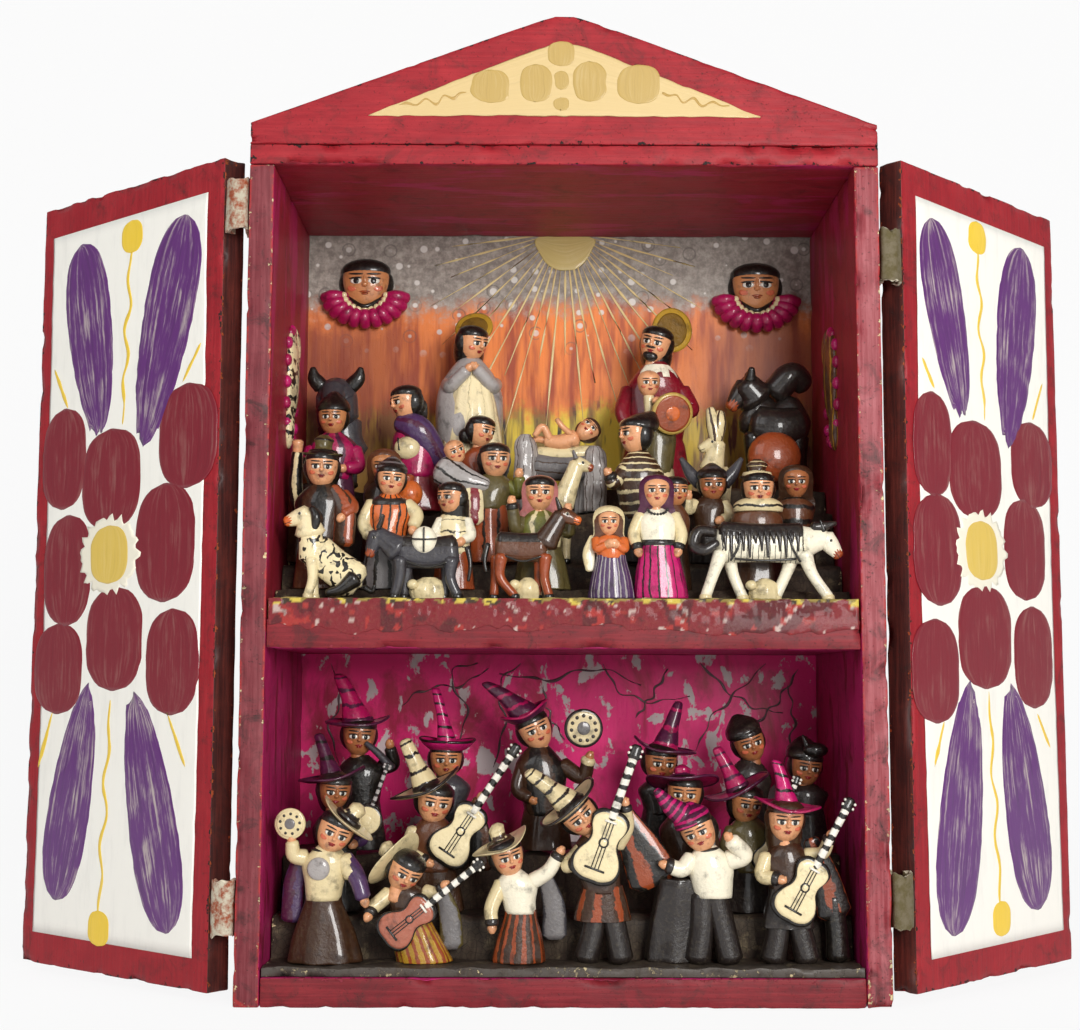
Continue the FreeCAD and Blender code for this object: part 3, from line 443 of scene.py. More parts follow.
def shade(tree, colour, roughness, height=None, depth=0.0002, **values):
    """Principled surface; constant values go straight onto its sockets."""
    inputs = {"Base Color": colour, "Roughness": roughness}
    if height is not None:
        relief = {"Height": height, "Distance": depth, "Strength": 0.8}
        inputs["Normal"] = node(tree, "Bump", relief).outputs[0]
    inputs.update({label.replace("_", " "): value for label, value in values.items()})
    surface = node(tree, "BsdfPrincipled", inputs)
    tree.links.new(surface.outputs[0], node(tree, "OutputMaterial").inputs[0])


def board_paint(name, colour, faded, under="wool", streak=0.5, wear=0.3, grime=0.4, place="grain",
                extra=None, coat=0.04):
    """Aged paint on a board; extra may lay more colour over it."""
    if name in bpy.data.materials:
        return bpy.data.materials[name]
    material, tree = new_material(name)
    where = attribute(tree, place)
    shades = [tone(c) for c in (colour, faded, under)]
    group = node(tree, "Group", node_tree=aged_paint())
    for key, value in (("Colour", shades[0]), ("Faded", shades[1]), ("Under", shades[2])):
        group.inputs[key].default_value = (*value, 1)
    for key, value in (("Streak", streak), ("Wear", wear), ("Grime", grime)):
        group.inputs[key].default_value = value
    tree.links.new(where, group.inputs["Place"])
    tree.links.new(attribute(tree, "edge", "Fac"), group.inputs["Edge"])
    shown = group.outputs["Colour"]
    if extra:
        shown = extra(tree, where, shown)
    shade(tree, shown, group.outputs["Roughness"], group.outputs["Height"], Coat_Weight=coat,
          Coat_Roughness=0.25, Specular_IOR_Level=0.3)
    return material


# ------------------------------------------------------------------ boards

def plank(size, cell=2.0, rub=0.6, bite=0.9, seed=0, end_bite=0.0):
    """Board from 0 to size as box lattice points, faces, face sides and distances from an edge.

    A point within rub of an edge is drawn in to a rounding: inner corner + rub * direction. Noise
    moves the surface a little, and where it is strong near an edge it bites a chip out.
    Sides are numbered 0 to 5 for -x, +x, -y, +y, -z, +z.
    """
    size = np.asarray(size, float)
    lines = []
    for length in size:
        inner = np.linspace(rub, length - rub, max(int(length / cell), 2))
        lines.append(np.concatenate([[0, rub * 0.35], inner, [length - rub * 0.35, length]]))
    counts = [len(line) for line in lines]
    quads, sides = [], []
    for axis in range(3):
        u, v = (axis + 1) % 3, (axis + 2) % 3
        for far in (0, 1):
            spot = [None] * 3
            spot[u], spot[v] = np.meshgrid(np.arange(counts[u]), np.arange(counts[v]), indexing="ij")
            spot[axis] = np.full(spot[u].shape, far * (counts[axis] - 1))
            index = np.ravel_multi_index(spot, counts)
            face = np.stack([index[:-1, :-1], index[1:, :-1], index[1:, 1:], index[:-1, 1:]], -1)
            quads.append((face if far else face[..., ::-1]).reshape(-1, 4))
            sides.append(np.full(len(quads[-1]), axis * 2 + far))
    used, quads = np.unique(np.vstack(quads), return_inverse=True)
    spots = np.unravel_index(used, counts)
    points = np.stack([lines[i][spots[i]] for i in range(3)], -1)
    gaps = np.sort(np.minimum(points, size - points), axis=1)
    edge = gaps[:, 1]
    inner = np.clip(points, rub, size - rub)
    away = points - inner
    away /= np.linalg.norm(away, axis=1, keepdims=True)
    ripple = value_noise(points + seed * 37.0, 9.0, seed) * 0.10 + value_noise(points, 2.7, seed + 1) * 0.05
    bites = value_noise(points, 6.5, seed + 2) + 0.35 * value_noise(points, 1.9, seed + 3)
    chip = np.maximum(bites - 0.38, 0)
    chip *= bite * 2.2 * np.exp(-edge / 1.3)
    if end_bite:
        top = np.exp(-(size[2] - points[:, 2]) / 1.5)
        chip += end_bite * top * np.maximum(value_noise(points, 4.5, seed + 5) + 0.1, 0)
    points = inner + away * (rub + ripple - 0.15 - chip)[:, None]
    return points, quads.reshape(-1, 4), np.concatenate(sides), edge


def board_mesh(name, points, quads, sides, edge, matrix, grain_axis=2, slots=None, seed=0):
    """Mesh of a plank: grain is the place in mm with z along the wood; slots gives each side's material."""
    mesh = bpy.data.meshes.new(name)
    order = [(grain_axis + 1) % 3, (grain_axis + 2) % 3, grain_axis]
    grain = points[:, order] + seed * 61.3
    placed = (points @ np.array(matrix)[:3, :3].T + np.array(matrix)[:3, 3]) * MM
    mesh.from_pydata(placed, [], quads)
    mesh.attributes.new("grain", "FLOAT_VECTOR", "POINT").data.foreach_set("vector", grain.ravel())
    mesh.attributes.new("flat", "FLOAT_VECTOR", "POINT").data.foreach_set("vector", points.ravel())
    mesh.attributes.new("edge", "FLOAT", "POINT").data.foreach_set("value", edge)
    if slots is not None:
        mesh.polygons.foreach_set("material_index", np.asarray(slots, np.int32)[sides])
    mesh.polygons.foreach_set("use_smooth", np.ones(len(quads), bool))
    return mesh


def crimson():
    """Crimson of the boards outside, in the colours that the user may change."""
    paints = bpy.context.scene.altar_paints
    return board_paint("crimson_board", paints.board, paints.board_faded, "soot", 0.5, 0.3, 0.5)


def rubbed_front(name="rubbed_edge_left", colour=(0.15, 0.016, 0.024), faded=(0.25, 0.055, 0.065)):
    """Handled front edges: dusty rose with bright red left along the arrises and dark knocks."""
    def arris(tree, where, shown):
        """Bright red along the board's edges, broken by noise."""
        line = times(tree, step(tree, attribute(tree, "edge", "Fac"), 1.3, 0.2),
                     step(tree, cloud(tree, where, 0.35, 5.0), 0.42, 0.58))
        return mix(tree, line, shown, (0.42, 0.03, 0.028))
    return board_paint(name, colour, faded, "wool", 0.6, 0.12, 0.75, extra=arris)


def lit_rubbed_front_right():
    """Right wall's front edge in lighter colours than the left one: painted light, as if the lamp fell more
    strongly on it.
    """
    return rubbed_front("rubbed_edge_right", (0.24, 0.024, 0.034), (0.42, 0.12, 0.135))


def deep_inside():
    """Inner faces of the upper niche: deep crimson with magenta strokes."""
    def strokes(tree, where, shown):
        """Magenta in long strokes along the grain."""
        grain = stretch(tree, where, (0.07, 0.07, 0.018))
        bright = step(tree, cloud(tree, grain, 1.0, 4.0, 0.6, 0.6), 0.52, 0.62)
        return mix(tree, times(tree, bright, 0.7), shown, (0.46, 0.012, 0.12))
    return board_paint("deep_crimson_inside", (0.26, 0.008, 0.020), (0.38, 0.018, 0.045), "blood",
                       0.6, 0.1, 0.4, extra=strokes, coat=0.15)


def pink_inside():
    """Inner faces of the lower niche: magenta with dull crimson strokes."""
    def strokes(tree, where, shown):
        """Dull crimson in broad strokes."""
        grain = stretch(tree, where, (0.10, 0.10, 0.03))
        dull = step(tree, cloud(tree, grain, 1.0, 5.0, 0.65, 0.7), 0.5, 0.6)
        return mix(tree, times(tree, dull, 0.85), shown, (0.17, 0.006, 0.016))
    return board_paint("magenta_inside", (0.36, 0.006, 0.085), (0.50, 0.022, 0.15), "blood", 0.5, 0.3, 0.4,
                       extra=strokes, coat=0.12)


def sky_panel():
    """Back of the upper niche by height: grey sky with white flakes, orange dusk, yellow and olive grass, and
    painted shade that darkens the lower sky towards both sides.
    """
    def scene(tree, _, shown):
        """The painted sky by the panel's own x and z in millimetres."""
        flat = attribute(tree, "flat")
        split = node(tree, "SeparateXYZ", {0: flat}).outputs
        wide = cloud(tree, stretch(tree, flat, (0.045, 0.0, 0.012)), 1.0, 4.0, 0.65)
        fine = cloud(tree, flat, 0.30, 6.0, 0.7)
        height = calc(tree, "MULTIPLY_ADD", calc(tree, "SUBTRACT", wide, 0.5), 26.0, split["Z"])
        height = calc(tree, "MULTIPLY_ADD", calc(tree, "SUBTRACT", fine, 0.5), 16.0, height)
        drips = cloud(tree, stretch(tree, flat, (0.16, 0.0, 0.022)), 1.0, 3.0, 0.6)
        grey = mix(tree, step(tree, fine, 0.35, 0.7), (0.21, 0.18, 0.155), (0.46, 0.41, 0.355))
        dusk = mix(tree, step(tree, drips, 0.36, 0.60), (0.42, 0.060, 0.012), (0.95, 0.26, 0.045))
        grass = mix(tree, step(tree, drips, 0.42, 0.56), (0.26, 0.17, 0.03), (0.92, 0.68, 0.05))
        grass = mix(tree, step(tree, cloud(tree, stretch(tree, flat, (0.3, 0, 0.05)), 1.0, 3.0), 0.56, 0.64),
                    grass, (0.03, 0.022, 0.014))
        colour = mix(tree, step(tree, height, 236.0, 247.0), dusk, grey)
        colour = mix(tree, step(tree, height, 207.0, 197.0), colour, grass)
        spread = node(tree, "CombineXYZ", {0: split["X"], 1: split["Z"]}).outputs[0]
        cells = node(tree, "TexVoronoi", {"Vector": spread, "Scale": 0.115}, voronoi_dimensions="2D")
        pick = node(tree, "SeparateXYZ", {0: cells.outputs["Color"]}).outputs
        reach = times(tree, pick["X"], 0.14)
        flake = times(tree, step(tree, calc(tree, "SUBTRACT", cells.outputs["Distance"], reach), 0.06, 0.0),
                      step(tree, pick["Y"], 0.18, 0.3))
        up = step(tree, height, 222.0, 236.0)
        flake = times(tree, flake, up)
        colour = mix(tree, times(tree, flake, 0.85), colour, (0.80, 0.77, 0.72))
        outer = calc(tree, "ABSOLUTE", calc(tree, "SUBTRACT", cells.outputs["Distance"], 0.27))
        ring = times(tree, step(tree, outer, 0.045, 0.015), step(tree, pick["Z"], 0.74, 0.78))
        ring = times(tree, ring, up)
        colour = mix(tree, times(tree, ring, 0.55), colour, (0.10, 0.085, 0.075))
        # painted shade: below the grey, the sky darkens towards both side walls
        side = calc(tree, "ABSOLUTE", calc(tree, "SUBTRACT", split["X"], 104.0))
        dusky = times(tree, step(tree, side, 26.0, 84.0), step(tree, height, 246.0, 228.0))
        colour = mix(tree, times(tree, dusky, 0.78), colour, (0.24, 0.038, 0.010))
        return mix(tree, 0.9, shown, colour)
    return board_paint("painted_sky_panel", "grey", "silver", "soot", 0.4, 0.05, 0.45, extra=scene, coat=0.1)


def vine_panel():
    """Back of the lower niche: magenta with silver-white patches."""
    def scene(tree, _, shown):
        """Bright and dull magenta, with bare silvery patches."""
        flat = attribute(tree, "flat")
        wash = cloud(tree, stretch(tree, flat, (0.05, 0.0, 0.03)), 1.0, 5.0, 0.65, 0.5)
        colour = mix(tree, step(tree, wash, 0.46, 0.64), (0.86, 0.012, 0.20), (0.42, 0.010, 0.06))
        patch = cloud(tree, stretch(tree, flat, (0.11, 0.0, 0.075)), 1.0, 6.0, 0.6, 0.3)
        colour = mix(tree, step(tree, patch, 0.565, 0.60), colour, (0.62, 0.55, 0.55))
        return mix(tree, 0.92, shown, colour)
    return board_paint("magenta_panel", "magenta", "pink", "silver", 0.4, 0.1, 0.35, extra=scene, coat=0.15)


def stained_edge():
    """Dark brown stain on the door edges by the hinges."""
    return board_paint("stained_door_edge", (0.035, 0.008, 0.007), (0.11, 0.02, 0.014), "rust", 0.6, 0.3, 0.5)


BOARDS = {
    # node: grain axis, seed, materials of the sides -x, +x, -y, +y, -z, +z
    "side_wall_left": (2, 1, ("out", "in", "front", "out", "out", "out")),
    "side_wall_right": (2, 2, ("in", "out", "lit_right_front", "out", "out", "out")),
    "top_board": (0, 3, ("out", "out", "top_front", "out", "in", "out")),
    "bottom_board": (0, 4, ("out", "out", "low_front", "out", "out", "pink")),
    "shelf_board": (0, 5, ("out", "out", "low_front", "out", "pink", "in")),
    "back_panel": (2, 6, ("out", "out", "sky", "out", "out", "out")),
}


def low_front():
    """Front of the shelf and bottom board: crimson with rubbed brighter strokes along the grain."""
    return board_paint("crimson_front", (0.15, 0.006, 0.012), (0.24, 0.017, 0.024), "rose", 0.7, 0.25, 0.6)


def make_boards(sizes):
    """Walls, top, bottom, shelf and back panel, each from its CAD node's own corners."""
    # the right wall's front edge takes lighter colours as painted light
    paints = {"out": crimson, "in": deep_inside, "front": rubbed_front, "lit_right_front": lit_rubbed_front_right,
              "top_front": crimson, "low_front": low_front, "pink": pink_inside, "sky": sky_panel}
    for name, (axis, seed, sides) in BOARDS.items():
        least, most = low(name), high(name)
        points, quads, side, edge = plank(most - least, BOARD_CELL, sizes.arris / MM, sizes.chips / MM, seed)
        matrix = Matrix.Translation(least)
        labels = list(dict.fromkeys(sides))
        slots = [labels.index(label) for label in sides]
        mesh = board_mesh(name + "_dressed", points, quads, side, edge, matrix, axis, slots, seed)
        materials = [paints[label]() for label in labels]
        middle = points[quads].mean(1)[:, 2] + least[2]
        below = middle < high("shelf_board")[2] - 4
        if name.startswith("side_wall"):
            materials.append(pink_inside())
            change = below & (side == (1 if name.endswith("left") else 0))
        elif name == "back_panel":
            materials.append(vine_panel())
            change = below & (side == 2)
        else:
            change = None
        if change is not None:
            index = np.asarray(slots, np.int32)[side]
            index[change] = len(materials) - 1
            mesh.polygons.foreach_set("material_index", index)
        settle(name + "_dressed", mesh, materials, "box", "crimson_wood", name)


def gable_top(x):
    """Height of the gable's edge over its foot at a distance x from the left end, peak rounded off."""
    least, most = low("gable"), high("gable")
    half, tall = (most[0] - least[0]) / 2, most[2] - least[2]
    peak, rounding = tall + 1.2, 12.0
    slope = (peak - GABLE_SHOULDER) / half
    line = peak - slope * np.sqrt((x - half) ** 2 + rounding)
    return np.minimum(line + 0.6, tall)


def stroke(piece, spots, halves, colour, lift=0.14, square=False, rows=40, around=20, wave=0.0, rag=0.0,
           seed=3, streaks=0.35):
    """Raised patch of paint on a flat face: a very flat loft along the spots (x, z) on the plane y = 0.

    Across goes the half width times the cosine, out of the face the lift times a flattened sine.
    weave keeps the place across the stroke for its brush marks; rag tears its start with noise.
    """
    halves = np.asarray(halves, float)
    spine = smooth(np.column_stack([np.asarray(spots, float), np.resize(halves, len(spots))]), rows)
    share = np.linspace(0, 1, rows)
    half = spine[:, 2].copy()
    if not square:
        half = half * np.sqrt(np.clip(1 - np.abs(2 * share - 1) ** 3.2, 0.004, 1))
    along = np.gradient(spine[:, :2], axis=0)
    along /= np.linalg.norm(along, axis=1, keepdims=True)
    across = np.column_stack([along[:, 1], -along[:, 0]])
    if wave:
        spine[:, :2] += across * (wave * np.sin(share * FULL_TURN * 3.5) * np.sin(share * math.pi))[:, None]
    _, cosine, sine = circle(around)
    width = half[:, None] * cosine
    flat = spine[:, None, :2] + across[:, None, :] * width[..., None]
    edge_noise = value_noise(np.column_stack([flat.reshape(-1, 2), np.full(rows * around, seed)]), 3.0, seed)
    flat += across[:, None, :] * (edge_noise.reshape(rows, around) * 0.35 * np.sign(cosine))[..., None]
    if rag:
        places = np.column_stack([width.ravel(), np.full(rows * around, seed * 7.7), np.zeros(rows * around)])
        teeth = value_noise(places, 1.1, seed).reshape(rows, around)
        flat += along[:, None, :] * (teeth * rag * (1 - share[:, None]) ** 4)[..., None]
    out = lift * np.tanh(4 * sine) * np.ones((rows, 1))
    rings = np.stack([flat[..., 0], -out, flat[..., 1]], -1)
    piece.add(rings[:, ::-1], colour, "ivory", (cosine * np.ones((rows, 1)) + 1.0 + seed)[:, ::-1], streaks)


DOOR_FLOWER = {
    # measured on each door: x from the hinge, height, half width, half height
    "left": {
        "petals": [(57.1, 169.8, 16.6, 17.6), (52.9, 115.0, 15.7, 17.6), (84.6, 179.1, 11.5, 18.1),
                   (16.3, 181.2, 13.4, 17.5), (80.8, 139.4, 14.0, 19.5), (26.8, 146.4, 15.8, 19.8),
                   (84.3, 105.1, 12.6, 15.8), (21.6, 107.0, 13.6, 17.4)],
        "tongues": [(63.7, 185.7, 77.8, 255.7, 12.6), (38.9, 181.3, 19.2, 256.1, 13.4),
                    (66.6, 97.4, 82.3, 25.9, 11.8), (40.8, 95.5, 20.1, 20.1, 12.4)],
        "tendrils": [(51.1, 188.3, 48.9, 253.7), (53.6, 94.4, 57.1, 18.4)],
        "dashes": [(91.9, 212.0, 83.2, 197.3), (10.2, 211.3, 19.1, 199.3), (86.8, 89.7, 94.3, 70.7),
                   (23.0, 90.4, 13.1, 73.2)],
        "heart": (56.9, 143.8, 12.5, 10.0)},
    "right": {
        "petals": [(42.1, 173.1, 17.4, 17.0), (45.9, 116.4, 17.6, 17.6), (15.6, 179.4, 10.4, 17.5),
                   (80.6, 178.5, 13.2, 15.4), (17.6, 144.5, 13.2, 18.6), (74.2, 147.7, 14.6, 17.9),
                   (14.7, 104.6, 12.6, 17.0), (78.4, 110.0, 13.6, 17.9)],
        "tongues": [(35.0, 190.3, 17.4, 256.0, 12.0), (65.0, 184.8, 78.0, 257.0, 13.2),
                    (35.4, 98.8, 21.7, 19.4, 13.4), (62.1, 98.9, 78.0, 23.0, 14.0)],
        "tendrils": [(49.1, 191.0, 46.7, 255.0), (47.5, 98.0, 52.0, 22.1)],
        "dashes": [(10.1, 207.5, 17.2, 198.1), (90.2, 209.2, 82.5, 195.1), (18.9, 88.2, 12.6, 73.9),
                   (80.1, 90.2, 88.6, 78.2)],
        "heart": (44.7, 145.7, 12.4, 10.1)},
}


def brushed_strokes():
    """Paint laid by brush: its colour runs in streaks along the stroke, thin where it was dragged."""
    if "brushed_strokes" in bpy.data.materials:
        return bpy.data.materials["brushed_strokes"]
    material, tree = new_material("brushed_strokes")
    weave = node(tree, "SeparateXYZ", {0: attribute(tree, "weave")}).outputs
    colour = attribute(tree, "paint", "Color")
    place = node(tree, "TexCoord").outputs["Object"]
    tall = node(tree, "SeparateXYZ", {0: place}).outputs["Z"]
    lane = node(tree, "CombineXYZ", {0: times(tree, weave["X"], 9.0),
                                     2: times(tree, tall, 38.0)}).outputs[0]
    streak = cloud(tree, lane, 1.0, 5.0, 0.65)
    blot = cloud(tree, stretch(tree, place, (120.0, 120.0, 70.0)), 1.0, 4.0, 0.6)
    thin = times(tree, step(tree, calc(tree, "ADD", streak, times(tree, blot, 0.5)), 0.74, 0.98),
                 weave["Y"])
    shown = mix(tree, times(tree, thin, 0.62), colour, attribute(tree, "second", "Color"))
    dense = times(tree, step(tree, streak, 0.52, 0.30), calc(tree, "MULTIPLY_ADD", weave["Y"], 0.3, 0.06))
    shown = mix(tree, dense, shown, PAINT["black"])
    shade(tree, shown, calc(tree, "MULTIPLY_ADD", streak, 0.3, 0.3), streak, 0.00012, Coat_Weight=0.15)
    return material


def petal(piece, x, z, wide, tall, colour, seed, lift=0.2):
    """Upright oval patch of paint round x and z."""
    stroke(piece, [(x, z - tall), (x + 0.3, z), (x, z + tall)], [wide] * 3, colour, lift, rows=26, around=22,
           seed=seed, streaks=0.14)


def make_doors(paints, sizes):
    """Each door board with its painted face: cream field, red border, flower, tongues and tendrils."""
    for side, name in SIDES:
        node_name = "door_" + name
        angle = math.radians(OPEN_ANGLE[name])
        least, most = low(node_name), high(node_name)
        thick_x = DOOR_THICK * math.sin(angle)
        wide = (most[0] - least[0] - thick_x) / math.cos(angle)
        tall = most[2] - least[2]
        if side > 0:
            corner = Vector((least[0] + thick_x, least[1], least[2]))
        else:
            hinge = Vector((most[0] - thick_x, least[1], least[2]))
            corner = hinge + Vector((-wide * math.cos(angle), wide * math.sin(angle), 0))
        matrix = Matrix.Translation(corner) @ Matrix.Rotation(side * angle, 4, "Z")
        arris, chips = sizes.arris / MM, sizes.chips / MM + 0.1
        points, quads, sides, edge = plank((wide, DOOR_THICK, tall), BOARD_CELL, arris, chips, 10 + side, 1.3)
        slots = [1, 0, 0, 0, 0, 0] if side > 0 else [0, 1, 0, 0, 0, 0]
        mesh = board_mesh(node_name + "_dressed", points, quads, sides, edge, matrix, 2, slots, 7 + side)
        settle(node_name + "_dressed", mesh, [crimson(), stained_edge()], node_name, "crimson_wood",
               node_name)
        art = Piece(matrix)
        flower = DOOR_FLOWER[name]

        def at(x, z):
            """Place on the door's face: distance from its hinge edge and height over the box's foot."""
            return x if side > 0 else wide - x, z - DOOR_FOOT

        def field_middle(inset):
            """Middle of the cream field, inset from the hinge edge and 6 mm from the free edge."""
            return at(inset, 0)[0] / 2 + at(wide - 6.0, 0)[0] / 2
        path = [(field_middle(8.6 if side > 0 else 7.4), 10.5), (wide / 2, tall / 2),
                (field_middle(8.6), tall - 11.0)]
        stroke(art, path, [wide / 2 - sizes.border / MM] * 3, paints.field, 0.12, True, 60, 28, seed=2,
               streaks=0.03)
        for i, (x, z, half, up) in enumerate(flower["petals"]):
            outer = half < 13.5
            petal(art, *at(x, z), half * (1.14 if outer else 1.02), up, paints.petal, 5 + i,
                  sizes.relief / MM)
        for i, (x, z, to_x, to_z, half) in enumerate(flower["tongues"]):
            stroke(art, [at(x, z), at(x * 0.5 + to_x * 0.5, (z + to_z) / 2), at(to_x, to_z)],
                   [half * 0.66, half * 1.0, half * 1.1], paints.tongue, 0.22, rows=44, around=24, rag=3.0,
                   seed=20 + i, streaks=0.8)
        for i, (x, z, to_x, to_z) in enumerate(flower["tendrils"]):
            stroke(art, [at(x, z), at((x + to_x) / 2, (z + to_z) / 2), at(to_x, to_z)],
                   [0.9] * 3, paints.yellow, 0.2, rows=60, around=10, wave=1.6, seed=30 + i)
            petal(art, *at(to_x, to_z), 6.0, 5.8, paints.yellow, 33 + i)
        for i, (x, z, to_x, to_z) in enumerate(flower["dashes"]):
            stroke(art, [at(x, z), at(to_x, to_z)], [0.9, 0.9], paints.yellow, 0.2, rows=14, around=10,
                   seed=40 + i)
        x, z, half, up = flower["heart"]
        _, cosine, sine = circle(64)
        ragged = 1 + 0.13 * np.cos(np.arange(64) * 2.9) * np.cos(np.arange(64) * 1.3)
        outline = np.column_stack([cosine * ragged * (half + 3.6), sine * ragged * (up + 3.2)])
        rim = plate(outline[::-1], 0.52, (at(x, z)[0], 0.0, at(x, z)[1]), Matrix.Identity(4))
        art.add(rim, (0.90, 0.85, 0.70), "ivory", amount=0.1)
        petal(art, *at(x, z), half * 0.86, up, (0.74, 0.52, 0.10), 50)
        art.points[-1][:, 1] -= 0.12
        settle("door_" + name + "_flower_painting", art, brushed_strokes(), node_name, "flowered_door")


def make_gable(paints, sizes):
    """Gable board with its cream field, a row of ochre seeds and two thin tendrils."""
    least, most = low("gable"), high("gable")
    size = most - least
    points, quads, sides, edge = plank(size, 2.0, sizes.arris / MM, sizes.chips / MM - 0.1, 21)
    top = gable_top(points[:, 0])
    points[:, 2] *= top / size[2]
    matrix = Matrix.Translation(least)
    mesh = board_mesh("gable_dressed", points, quads, sides, edge, matrix, 0, [0] * 6, 22)
    settle("gable_dressed", mesh, [crimson()], "box", "crimson_wood", "gable")
    art = Piece(matrix)
    half = size[0] / 2
    x = np.linspace(-64, 64, 17)
    foot, peak = 9.4, size[2] - 8.6
    head = foot + 0.3 + (peak - foot) * (1 - np.sqrt((x / 64) ** 2 + 0.002))
    stroke(art, np.column_stack([half + x, (foot + head) / 2]), (head - foot) / 2, paints.gable_field,
           0.14, True, 70, 24, seed=4, streaks=0.08)
    for i, (at, z, wide, tall) in enumerate([(-24.5, 19.5, 6.6, 5.6), (-9.6, 20.6, 5.4, 6.4),
                                             (-1.4, 30.6, 4.6, 4.2), (8.0, 21.3, 5.6, 6.8),
                                             (24.0, 20.4, 7.2, 6.6), (-1.2, 21.6, 2.4, 3.2),
                                             (-1.2, 13.6, 2.6, 2.2)]):
        petal(art, half + at, z, wide, tall, paints.gable_seed, 60 + i)
    for i, sign in enumerate((-1, 1)):
        stroke(art, [(half + sign * 32, 17.5), (half + sign * 42, 14.6), (half + sign * 54, 13.2)], [0.5] * 3,
               (0.47, 0.29, 0.07), 0.2, rows=50, around=8, wave=1.2, seed=70 + i)
    settle("gable_seed_painting", art, brushed_strokes(), "box", "flowered_door")


# ------------------------------------------------------------------ leather and paste

def paste_paint(name="varnished_paste", coat=None, dull=0.2):
    """Painted paste: stripes or blots of a second paint, mottled, with soot in it and a varnish coat."""
    if name in bpy.data.materials:
        return bpy.data.materials[name]
    coat = bpy.context.scene.altar_sizes.varnish if coat is None else coat
    material, tree = new_material(name)
    weave = node(tree, "SeparateXYZ", {0: attribute(tree, "weave")}).outputs
    place = stretch(tree, node(tree, "TexCoord").outputs["Object"], IN_MM)
    fine = cloud(tree, place, 0.9, 5.0, 0.6)
    wide = cloud(tree, place, 0.22, 5.0, 0.65)
    wander = calc(tree, "MULTIPLY_ADD", calc(tree, "SUBTRACT", wide, 0.5), 0.75, weave["X"])
    band = calc(tree, "PINGPONG", wander, 0.5)
    edge = calc(tree, "MULTIPLY_ADD", weave["Y"], -0.32, 0.5)
    stripe = step(tree, band, edge, calc(tree, "ADD", edge, 0.06))
    blot = step(tree, cloud(tree, place, 0.42, 1.5, 0.4, 0.6), 0.535, 0.555)
    stripe = calc(tree, "MAXIMUM", stripe, times(tree, blot, weave["Z"]))
    shown = mix(tree, stripe, attribute(tree, "paint", "Color"), attribute(tree, "second", "Color"))
    shown = mix(tree, times(tree, step(tree, fine, 0.45, 0.8), 0.045), shown, PAINT["wool"])
    soot = times(tree, step(tree, wide, 0.50, 0.74), 0.62)
    shown = mix(tree, soot, shown, PAINT["soot"])
    chip = step(tree, cloud(tree, place, 0.6, 6.0, 0.7), 0.73, 0.75)
    shown = mix(tree, times(tree, chip, 0.5), shown, PAINT["ivory"])
    rough, height = calc(tree, "MULTIPLY_ADD", fine, 0.3, dull), calc(tree, "MULTIPLY_ADD", wide, 1.5, fine)
    shade(tree, shown, rough, height,
          0.00030, Coat_Weight=coat, Coat_Roughness=0.09, Specular_IOR_Level=0.3)
    return material


def old_leather():
    """Raw strip leather: grained, stained, with glue and paint on it."""
    if "raw_strip_leather" in bpy.data.materials:
        return bpy.data.materials["raw_strip_leather"]
    material, tree = new_material("raw_strip_leather")
    place = stretch(tree, node(tree, "TexCoord").outputs["Object"], IN_MM)
    grain = cloud(tree, place, 1.8, 6.0, 0.65)
    stain = cloud(tree, place, 0.28, 6.0, 0.7)
    shown = mix(tree, step(tree, stain, 0.40, 0.62), attribute(tree, "paint", "Color"),
                attribute(tree, "second", "Color"))
    shown = mix(tree, step(tree, grain, 0.60, 0.74), shown, (0.035, 0.026, 0.018))
    shade(tree, shown, 0.72, grain, 0.0004)
    return material


